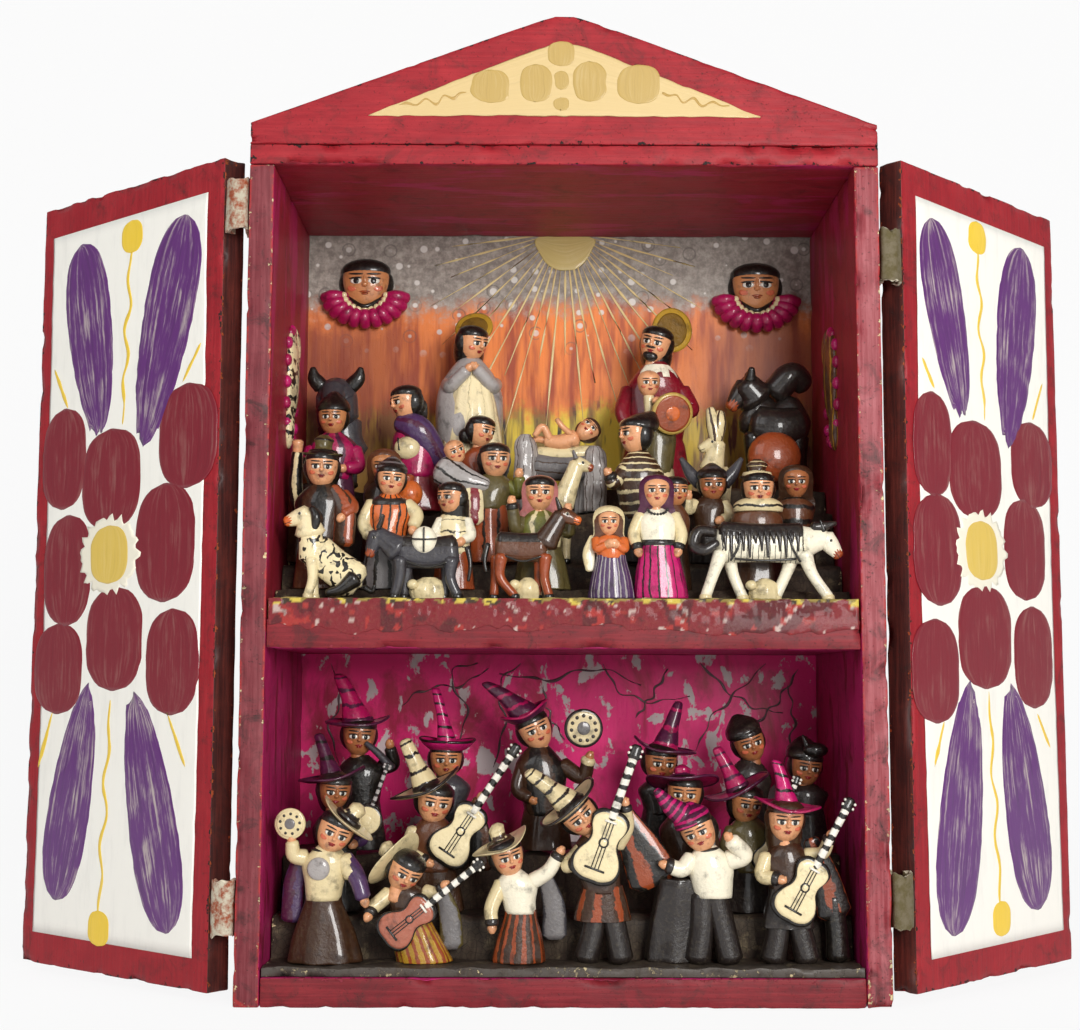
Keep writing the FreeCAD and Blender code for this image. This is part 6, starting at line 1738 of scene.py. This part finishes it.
    "fourth_row": (("upper", 4, 1.0), """
# black_hat_man
robe -79.4,0,0 -79.4,0,13 -79.8,0,27 8,6.4,7,8.8 plum magenta 8 .08 top_mark=plum,around,8,.7
head -80,-2,32.4 4.9 -2,2,0 skin=tan
beanie black black 1.1 3 at=.2,.6,.6 size=5.4
arm -87.2,-.4,21.6/-88.6,-2.4,15.6/-83.4,-5.4,14.4 magenta 2.5
arm -72.4,-.4,21.6/-70.8,-2.4,15.6/-75.6,-5.4,14.4 magenta 2.5
# purple_shawl_woman
robe -50.6,0,0 -50.8,0,14 -51,0,32 8.6,6.6,7.2,8.2 crimson magenta 8 .08
head -54.6,-1.4,38 5.2 -58,2,-6 long=8
limb -57,-2.4,31/-50,-3.6,28/-42,-.6,17 3,5.2,3.6 violet 20 22 flat=.7 mark=plum,around,5,.6
ball -53.6,-5.2,21.6 4.6,2.4,4 wool
limb -56.8,-6,25/-56.2,-7.2,20.6 .35,.35 black 7 6
# kneeling_woman
robe -28.8,0,-.1 -28.8,0,12 -28.6,0,22.4 7.2,5.4,5.8,6.4 brown rust 8 .08 lap=1
head -28,-1.2,28 4.6 48,2,10
ball -33.2,-.2,26.6 2.9,2.8,3 black
arm -24.2,-.6,18.6/-21.4,-2.4,15/-19.4,-4.6,18 rust 1.9
# manger
post -12.4 -1 27 4.6
post 11.6 -1 23 4.2
post -9.6 5 22 3.6
post 9 5 22 3.6
limb -9,1,16.6/0,1,15.8/11.4,1,16.6 4.6,4.8,4.6 grey 20 18 flat=.9 mark=umber,around,9,.3
limb -8,.4,20.6/1,.2,20.2/12,.4,21 2.4,3,2.6 wool 18 16 flat=.9
# manger_child
limb -5.4,-.6,25/0,-.8,24.4/5,-.8,26 2,2.8,3 skin 16 18
head 9.2,-1.4,28.6 3.7 -10,-26,52 hair=umber neck=0
limb -4,-1.6,25.4/-6.6,-2.6,29.6/-9.4,-2.8,26.4 1.4,1.3,1 skin 12 12
limb -4.4,.6,25/-8,.2,25.6/-11.4,0,25 1.4,1.2,.9 skin 12 12
limb 3.4,-2.6,27/.4,-4,29.4/-1.6,-4.2,32 1.1,1,.9 skin 10 10
# drummer
robe 33.4,0,0 33.4,0,15 33.2,0,33 8,6,6.2,7 wool olive 8 .08 lap=1
head 30.6,-2.6,45 4 6,4,0 hair=-
limb 30.8,-2.2,34/30.6,-2.4,40.6 1.7,1.9 wool 8 14
arm 38.4,-.6,35/38.4,-4,38.6/33.6,-5.8,38.4 olive 1.9
drum 38.4,-6.4,33.8 7.4 14,16,0 rust brown 0 orange gold
# tall_eared_llama
body 1 50,13.6/54,12.4/58,12.2 4 wool - .8
muzzle 0 52.6,15/54.8,24.6/49.4,22.6 2.7 wool wool 0
limb 54.4,-.6,25/53.5,-.6,31/52.4,-.4,36.4 2.2,2.7,1.7 wool 14 14 flat=.8 mark=umber,around,5,.6
limb 54.4,.2,25/55.2,-.6,31/55.8,-.4,35.2 2.2,2.7,1.7 wool 14 14 flat=.8 mark=umber,around,5,.6
leg -.8 50.6,10/50.6,5/50.6,0 wool 1.5
leg 2.8 51.4,10/51.4,5/51.4,0 wool 1.5
leg -.8 57.2,10/57.2,5/57.2,0 wool 1.5
leg 2.8 58,10/58,5/58,0 wool 1.5"""),
    # Each halo in the back row is a gold disc with a smaller darker disc on it, painted shade round the head.
    "back_row": (("upper", 5, 2.0), """
# horned_ox
body 2 -79.6,22/-78.6,16/-77,11 8 slate - .7
limb -80,-.6,24/-80.4,-2,31.6/-80.8,-4.4,34.4 7.6,7.4,5.6 slate 16 20
limb -80.8,-4,33/-81,-8,28 5,4 slate 10 18
limb -85.8,-2.6,35/-88.2,-3,38/-88.8,-3.6,41.6 2.9,2.6,1 black 14 14 flat=.7
leg -1 -82.4,12/-82.4,6/-82.4,0 slate 2.4
limb -75.4,-2.6,35/-72.6,-3,38/-71.6,-3.6,41.6 2.9,2.6,1 black 14 14 flat=.7
leg 5 -75.6,12/-75.6,6/-75.6,0 slate 2.4
# praying_mother
gown -33,0,0 -33,0,14 14,11.4 silver 8 .05 deep=.56 spots=cream,.5
trunk -33,0,12 -32.6,0,44 11.8,11.6 silver deep=.58
form -31.4,-5,0 0,11.6,5.4/10,10.8,5.3/30,7.6,4.2/38,4.6,3.2/43,2.2,2 cream \
folds=11 fold=.08,.03 mark=olive,around,9,.12
head -31.6,-2.6,51 5.2 44,10,8 long=9
disc -31.4,2.6,57.6 7,6.6 1.6 -16,-24,10 #b08a2c
disc -31.4,1.8,57.4 5.2,4.8 .8 -16,-24,10 #7a5c22
arm -40.4,-1,36/-39,-6,35/-32.8,-9.4,40.6 silver 2.6
arm -23.8,-1,36/-24.6,-6,35/-30.6,-9.6,41 silver 2.6
# bearded_father
gown 33.4,0,0 33.6,0,16 13,10.4 crimson 8 .06 deep=.56
trunk 33.6,0,14 34.4,0,43 10.8,11.4 crimson deep=.58
gown 31.6,-3.4,0 32,-3.4,22 7.4,5.4 rust 8 .07 deep=.56 mark=ochre,around,8,.7
form 34.4,-1.2,38.4 0,7.6,5.4/2.4,6.6,5/4.8,4.6,4 ivory folds=9 fold=.08,.03
head 34,-2.4,50.8 5.5 -18,6,14 long=9
tuft 0,-.55,-.86 2.9,1.9,1.9 black
tuft 0,-.93,-.3 1.9,.4,.42 black
disc 40.4,3,57.2 7.6,8.6 1.6 14,-14,18 #b08a2c
disc 40.2,2.2,57 5.8,6.8 .8 14,-14,18 #7a5c22
arm 24.6,-1,34/22,-4.6,26/24,-7,20 crimson 2.9 cuff=wool
arm 43.6,-1,34/46.6,-4.6,27/43,-8,25.6 crimson 2.9 cuff=wool
# black_ox
body 1 69,27/77,22/85,26 8.4 soot - .62
limb 70,-1,32/66,-2.6,36.4 6.4,5 soot 12 18
muzzle -2 70,31/66.6,35.6/61.4,28.6 4 soot rust 0 neck=soot
limb 67.6,-5.4,37.6/68,-7,41.4 2.2,1.1 black 10 12
limb 67.6,1.4,37.6/68,3,41.4 2.2,1.1 black 10 12
limb 77,0,34/83,-.6,39.6/88,1,37 5,5.2,4 soot 16 18
limb 70.4,-2,22/77.6,-3.4,20.6/85.4,-2,22 6.8,7.2,6.4 soot 18 20 flat=.8
leg -2.2 68.6,18/68.6,9/68.6,0 black 2.6
leg 4.2 70.6,18/70.6,9/70.6,0 black 2.6
leg -2.2 84.4,18/84.4,9/84.4,0 black 2.6
leg 4.2 86.4,18/86.4,9/86.4,0 black 2.6
ball 75.6,-7.4,9.6 9.6,4.4,9 rust"""),
}




# ------------------------------------------------------------------ reliefs and painted lines

def make_relief():
    """Ruffed busts on the sky panel, flattened against it, and animal and leaf reliefs on the side walls."""
    back = BACK - FRONT
    pair = Figure()
    flat = Matrix.Diagonal((1.04, 0.6, 0.92, 1.0))
    for x, z in ((-72.8, 249.6), (73.6, 248.6)):
        # the busts' faces take a darker skin as painted shade
        pair.face((x, back - 1.6, z), 8.4, flat, "tan", "rust")
        pair.hair((x, back - 1.6, z), 8.4, flat)
        pair.limb([(x - 7.2, back - 2.2, z - 5.0), (x, back - 5.6, z - 9.4), (x + 7.2, back - 2.2, z - 5.0)],
                  [0.8] * 3, "black", 18, 8)
        for k in range(11):
            angle = math.radians(186 + 16.8 * k)
            across, down = math.cos(angle), math.sin(angle)
            start, middle, end = ((x + across * 15.6 * share, back - out, z - 4.4 + down * 11.6 * share)
                                  for share, out in ((0.44, 3.4), (0.76, 4.6), (1.0, 2.2)))
            pair.limb([start, middle, end], [1.2, 2.3, 2.1], "magenta", 12, 14)
            pair.ball((start[0] + across, start[1] - 1.5, start[2] + down), (1.2, 0.9, 1.2), "wool", None, 6,
                      10)
        pair.form((x, back, z - 13.4), [(0, 8.0, 2.4), (3, 13.0, 3.4), (7, 13.0, 3.2), (9, 7.0, 2.0)], "plum")
    for points in pair.points:
        points[:, 1] = np.minimum(points[:, 1], back + 2.0)
    settle("ruffed_cherubs_moulded", pair, paste_paint(), "box", "painted_paste", "cherubs")

    carving = Figure()
    least, most = low("wall_reliefs"), high("wall_reliefs")
    middle, depth = (least[2] + most[2]) / 2, (least[1] + most[1]) / 2 - FRONT
    for side, shade_of, look in ((-1, "cream", {"spots": ("black", 1.0)}),
                                 (1, "brown", {"mark": ("ochre", "around", 7, 0.4)})):
        wall = side * NICHE
        for dx, dz, wide, tall, thick in ((0, 4.0, 12.0, 19.0, 2.5), (-5.0, -15.0, 5.0, 9.0, 2.0),
                                          (6.0, 14.0, 6.0, 9.0, 2.2)):
            carving.ball((wall - side * 0.3, depth + dx, middle + dz), (thick, wide * 0.72, tall * 0.86),
                         shade_of, None, 16, 24, **look)
        for k in range(16):
            angle = FULL_TURN * k / 16
            spot = (wall - side * 0.2, depth + 10.5 * math.cos(angle) + (k % 3) * 0.8,
                    middle + 19.5 * math.sin(angle))
            carving.ball(spot, (1.5, 2.4, 2.2), "magenta" if k % 2 else "pink", None, 7, 10)
    settle("wall_reliefs_moulded", carving, paste_paint(), "box", "painted_paste", "wall_reliefs")


def make_panel_lines(rays):
    """Thin painted lines on the back panels: gold sun and its rays above, dark vines below."""
    top = low("top_board")[2]
    sky = Piece(Matrix.Translation((0, BACK, 0)))
    for k in range(rays):
        angle = math.radians(186 + 168 * k / (rays - 1))
        across, down = math.cos(angle), math.sin(angle)
        reach = 26 + 34 * abs(math.sin(k * 1.7)) * abs(down) + 6 * abs(across)
        start = (2.0 + across * 11, top + 1.5 + down * 9.5)
        end = (2.0 + across * (11 + reach), min(top + 1.5 + down * (9.5 + reach * 1.25), top - 1.0))
        stroke(sky, [start, end], [0.34, 0.22], linear("#dcc487"), 0.1, rows=10, around=8, seed=80 + k)
    stroke(sky, [(-9.5, top - 1.2), (2.0, top - 5.0), (13.5, top - 1.2)], [3.0, 8.0, 3.0], linear("#c8b26a"),
           0.16, rows=30, seed=81)
    settle("gold_sun_painting", sky, brushed_strokes(), "box", "crimson_wood")
    vines = Piece(Matrix.Translation((0, BACK, 0)))
    for k, path in enumerate(VINES):
        stroke(vines, path, [0.42, 0.34, 0.3, 0.2][:len(path)], (0.06, 0.004, 0.02), 0.09, rows=40, around=8,
               wave=0.9, seed=90 + k)
    settle("dark_vine_painting", vines, brushed_strokes(), "box", "crimson_wood")


VINES = [
    # x and height of the points along each vine
    [(-58, 92), (-50, 98), (-36, 100), (-26, 106)], [(-38, 76), (-34, 90), (-40, 104), (-30, 108)],
    [(-24, 70), (-20, 86), (-22, 100), (-14, 108)], [(-22, 104), (-4, 102), (14, 106), (30, 100)],
    [(-6, 100), (-4, 90), (2, 80)], [(16, 108), (22, 98), (34, 94), (48, 96)],
    [(40, 106), (34, 96), (28, 88)],
    [(52, 108), (62, 98), (72, 92), (82, 90)], [(76, 108), (66, 98), (56, 88), (50, 76)],
    [(88, 106), (80, 94), (70, 84)], [(-84, 108), (-80, 96), (-84, 84), (-80, 70)],
    [(84, 100), (86, 86), (82, 70)]]


# ------------------------------------------------------------------ settings, operators and panel

class AltarBoxPaints(PropertyGroup):
    """Paints a user may change."""
    board: FloatVectorProperty(name="Board crimson", description="Main colour of the boards outside",
                               subtype="COLOR", size=3, min=0.0, max=1.0, default=(0.28, 0.007, 0.015))
    board_faded: FloatVectorProperty(name="Faded crimson",
                                     description="Colour where the board paint has faded",
                                     subtype="COLOR", size=3, min=0.0, max=1.0, default=(0.40, 0.020, 0.028))
    field: FloatVectorProperty(name="Door field", description="Cream ground under the flowers",
                               subtype="COLOR", size=3, min=0.0, max=1.0, default=(0.95, 0.93, 0.86))
    petal: FloatVectorProperty(name="Petals", description="Colour of the door petals",
                               subtype="COLOR", size=3, min=0.0, max=1.0, default=(0.20, 0.004, 0.016))
    tongue: FloatVectorProperty(name="Tongues", description="Colour of the long door strokes",
                                subtype="COLOR", size=3, min=0.0, max=1.0, default=(0.115, 0.018, 0.165))
    yellow: FloatVectorProperty(name="Tendrils", description="Colour of the door tendrils and their dots",
                                subtype="COLOR", size=3, min=0.0, max=1.0, default=(0.88, 0.60, 0.04))
    gable_field: FloatVectorProperty(name="Gable field", description="Ground under the gable's seeds",
                                     subtype="COLOR", size=3, min=0.0, max=1.0, default=(0.64, 0.47, 0.21))
    gable_seed: FloatVectorProperty(name="Gable seeds", description="Colour of the gable's seeds",
                                    subtype="COLOR", size=3, min=0.0, max=1.0, default=(0.48, 0.32, 0.085))


class AltarBoxSizes(PropertyGroup):
    """Sizes and amounts a user may change."""
    arris: FloatProperty(name="Arris rounding", description="Radius of the rubbed board edges",
                         unit="LENGTH", default=0.6 * MM, min=0.2 * MM, max=1.5 * MM)
    chips: FloatProperty(name="Chips", description="Depth of the bites out of the board edges",
                         unit="LENGTH", default=0.8 * MM, min=0.0, max=2.0 * MM)
    border: FloatProperty(name="Door border", description="Width of the red rim round the door's field",
                          unit="LENGTH", default=7.2 * MM, min=3.0 * MM, max=20.0 * MM)
    relief: FloatProperty(name="Paint thickness", description="Thickness of the petals' paint",
                          unit="LENGTH", default=0.2 * MM, min=0.05 * MM, max=0.6 * MM)
    fray: FloatProperty(name="Strap fray", description="How far the leather's ends are frayed",
                        unit="LENGTH", default=1.1 * MM, min=0.0, max=3.0 * MM)
    drip: FloatProperty(name="Crust drip", description="How far the crust runs down the shelf's front",
                        unit="LENGTH", default=2.4 * MM, min=0.5 * MM, max=6.0 * MM)
    rays: IntProperty(name="Sun rays", description="Painted rays round the sun", default=27, min=5, max=60)
    varnish: FloatProperty(name="Varnish", description="Weight of the varnish coat on the figures",
                           subtype="FACTOR", default=0.6, min=0.0, max=1.0)


class AltarBoxLights(PropertyGroup):
    """Lights a user may change."""
    room: FloatProperty(name="Room light", description="Strength of the even light all round",
                        default=0.30, min=0.0, max=2.0)
    front: FloatProperty(name="Front light", description="Power of the front softbox",
                         unit="POWER", default=14.0, min=0.0)
    fill: FloatProperty(name="Fill light", description="Power of the fill softbox",
                        unit="POWER", default=5.0, min=0.0)


OPERATORS = []


def listed(operator):
    """Keeps an operator in the order in which the panel and main use it."""
    OPERATORS.append(operator)
    return operator


@listed
class MakeBoards(Operator):
    """Dress the walls, the top, bottom and shelf boards and the back panel"""
    bl_idname = "altar_box.boards"
    bl_label = "Boards"

    def execute(self, context):
        make_boards(context.scene.altar_sizes)
        return {"FINISHED"}


@listed
class MakeGable(Operator):
    """Dress the gable and paint its field and seeds"""
    bl_idname = "altar_box.gable"
    bl_label = "Gable"

    def execute(self, context):
        make_gable(context.scene.altar_paints, context.scene.altar_sizes)
        return {"FINISHED"}


@listed
class MakeDoors(Operator):
    """Dress both doors and paint their flowers"""
    bl_idname = "altar_box.doors"
    bl_label = "Doors"

    def execute(self, context):
        make_doors(context.scene.altar_paints, context.scene.altar_sizes)
        return {"FINISHED"}


@listed
class MakeStraps(Operator):
    """Fold the leather hinge strips from the walls round to the doors"""
    bl_idname = "altar_box.straps"
    bl_label = "Leather strips"

    def execute(self, context):
        make_straps(context.scene.altar_sizes.fray / MM)
        return {"FINISHED"}


@listed
class MakeGrounds(Operator):
    """Step the paste grounds under the figures of both niches"""
    bl_idname = "altar_box.grounds"
    bl_label = "Paste grounds"

    def execute(self, context):
        make_ground("upper_ground", UPPER_TIERS, UPPER_STEP, (0.30, 0.22, 0.06))
        make_ground("lower_ground", LOWER_TIERS, LOWER_STEP, (0.075, 0.062, 0.052))
        return {"FINISHED"}


@listed
class MakeCrust(Operator):
    """Draw the crackled crust over the shelf's front edge"""
    bl_idname = "altar_box.crust"
    bl_label = "Shelf crust"

    def execute(self, context):
        make_crust(context.scene.altar_sizes.drip / MM)
        return {"FINISHED"}


@listed
class MouldFrontBand(Operator):
    """Mould the front row of players in the lower niche"""
    bl_idname = "altar_box.front_band"
    bl_label = "Front players"

    def execute(self, context):
        mould("front_band")
        return {"FINISHED"}


@listed
class MouldMiddleBand(Operator):
    """Mould the second row of players in the lower niche"""
    bl_idname = "altar_box.middle_band"
    bl_label = "Middle players"

    def execute(self, context):
        mould("middle_band")
        return {"FINISHED"}


@listed
class MouldBackBand(Operator):
    """Mould the back row of players in the lower niche"""
    bl_idname = "altar_box.back_band"
    bl_label = "Back players"

    def execute(self, context):
        mould("back_band")
        return {"FINISHED"}


@listed
class MouldHerd(Operator):
    """Mould the animals along the front of the upper niche"""
    bl_idname = "altar_box.herd"
    bl_label = "Animals"

    def execute(self, context):
        mould("herd")
        return {"FINISHED"}


@listed
class MouldFrontWomen(Operator):
    """Mould the two women in the front of the upper niche"""
    bl_idname = "altar_box.front_women"
    bl_label = "Front women"

    def execute(self, context):
        mould("front_women")
        return {"FINISHED"}


@listed
class MouldSecondRow(Operator):
    """Mould the shepherds and women of the second row"""
    bl_idname = "altar_box.second_row"
    bl_label = "Second row"

    def execute(self, context):
        mould("second_row")
        return {"FINISHED"}


@listed
class MouldThirdRow(Operator):
    """Mould the onlookers and the mother of the third row"""
    bl_idname = "altar_box.third_row"
    bl_label = "Third row"

    def execute(self, context):
        mould("third_row")
        return {"FINISHED"}


@listed
class MouldFourthRow(Operator):
    """Mould the manger, its child and the visitors beside it"""
    bl_idname = "altar_box.fourth_row"
    bl_label = "Fourth row"

    def execute(self, context):
        mould("fourth_row")
        return {"FINISHED"}


@listed
class MouldBackRow(Operator):
    """Mould the praying mother, the bearded father and the two oxen"""
    bl_idname = "altar_box.back_row"
    bl_label = "Back row"

    def execute(self, context):
        mould("back_row")
        return {"FINISHED"}


@listed
class MakeRelief(Operator):
    """Mould the ruffed busts and the reliefs of the side walls"""
    bl_idname = "altar_box.relief"
    bl_label = "Reliefs"

    def execute(self, context):
        make_relief()
        return {"FINISHED"}


@listed
class MakePanelLines(Operator):
    """Paint the sun, its rays and the vines on the back panels"""
    bl_idname = "altar_box.panel_lines"
    bl_label = "Panel lines"

    def execute(self, context):
        make_panel_lines(context.scene.altar_sizes.rays)
        return {"FINISHED"}


@listed
class MakeStage(Operator):
    """Set up the white sweep, the lights and the camera"""
    bl_idname = "altar_box.stage"
    bl_label = "Stage"

    def execute(self, context):
        make_sweep()
        make_lights(context.scene.altar_lights)
        make_camera()
        return {"FINISHED"}


class AltarBoxPanel(Panel):
    """Lists the pieces of the altar box and their settings"""
    bl_idname = "VIEW3D_PT_altar_box"
    bl_label = "Altar box"
    bl_space_type = "VIEW_3D"
    bl_region_type = "UI"
    bl_category = "Altar box"

    def draw(self, context):
        """All settings, then a button for each operator in the order in which main calls them."""
        scene = context.scene
        for group in (scene.altar_paints, scene.altar_sizes, scene.altar_lights):
            column = self.layout.column(align=True)
            for label in group.__annotations__:
                column.prop(group, label)
        column = self.layout.column(align=True)
        for operator in OPERATORS:
            column.operator(operator.bl_idname)


GROUPS = {"altar_paints": AltarBoxPaints, "altar_sizes": AltarBoxSizes, "altar_lights": AltarBoxLights}


def register():
    """Registers the classes and hangs the settings on the scene."""
    for each in (*GROUPS.values(), *OPERATORS, AltarBoxPanel):
        bpy.utils.register_class(each)
    for label, group in GROUPS.items():
        setattr(bpy.types.Scene, label, PointerProperty(type=group))


def unregister():
    """Takes the settings and the classes away again."""
    for label in GROUPS:
        delattr(bpy.types.Scene, label)
    for each in reversed((*GROUPS.values(), *OPERATORS, AltarBoxPanel)):
        bpy.utils.unregister_class(each)


def main():
    """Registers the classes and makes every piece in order."""
    register()
    for operator in OPERATORS:
        area, name = operator.bl_idname.split(".")
        getattr(getattr(bpy.ops, area), name)()


if __name__ == "__main__":
    main()
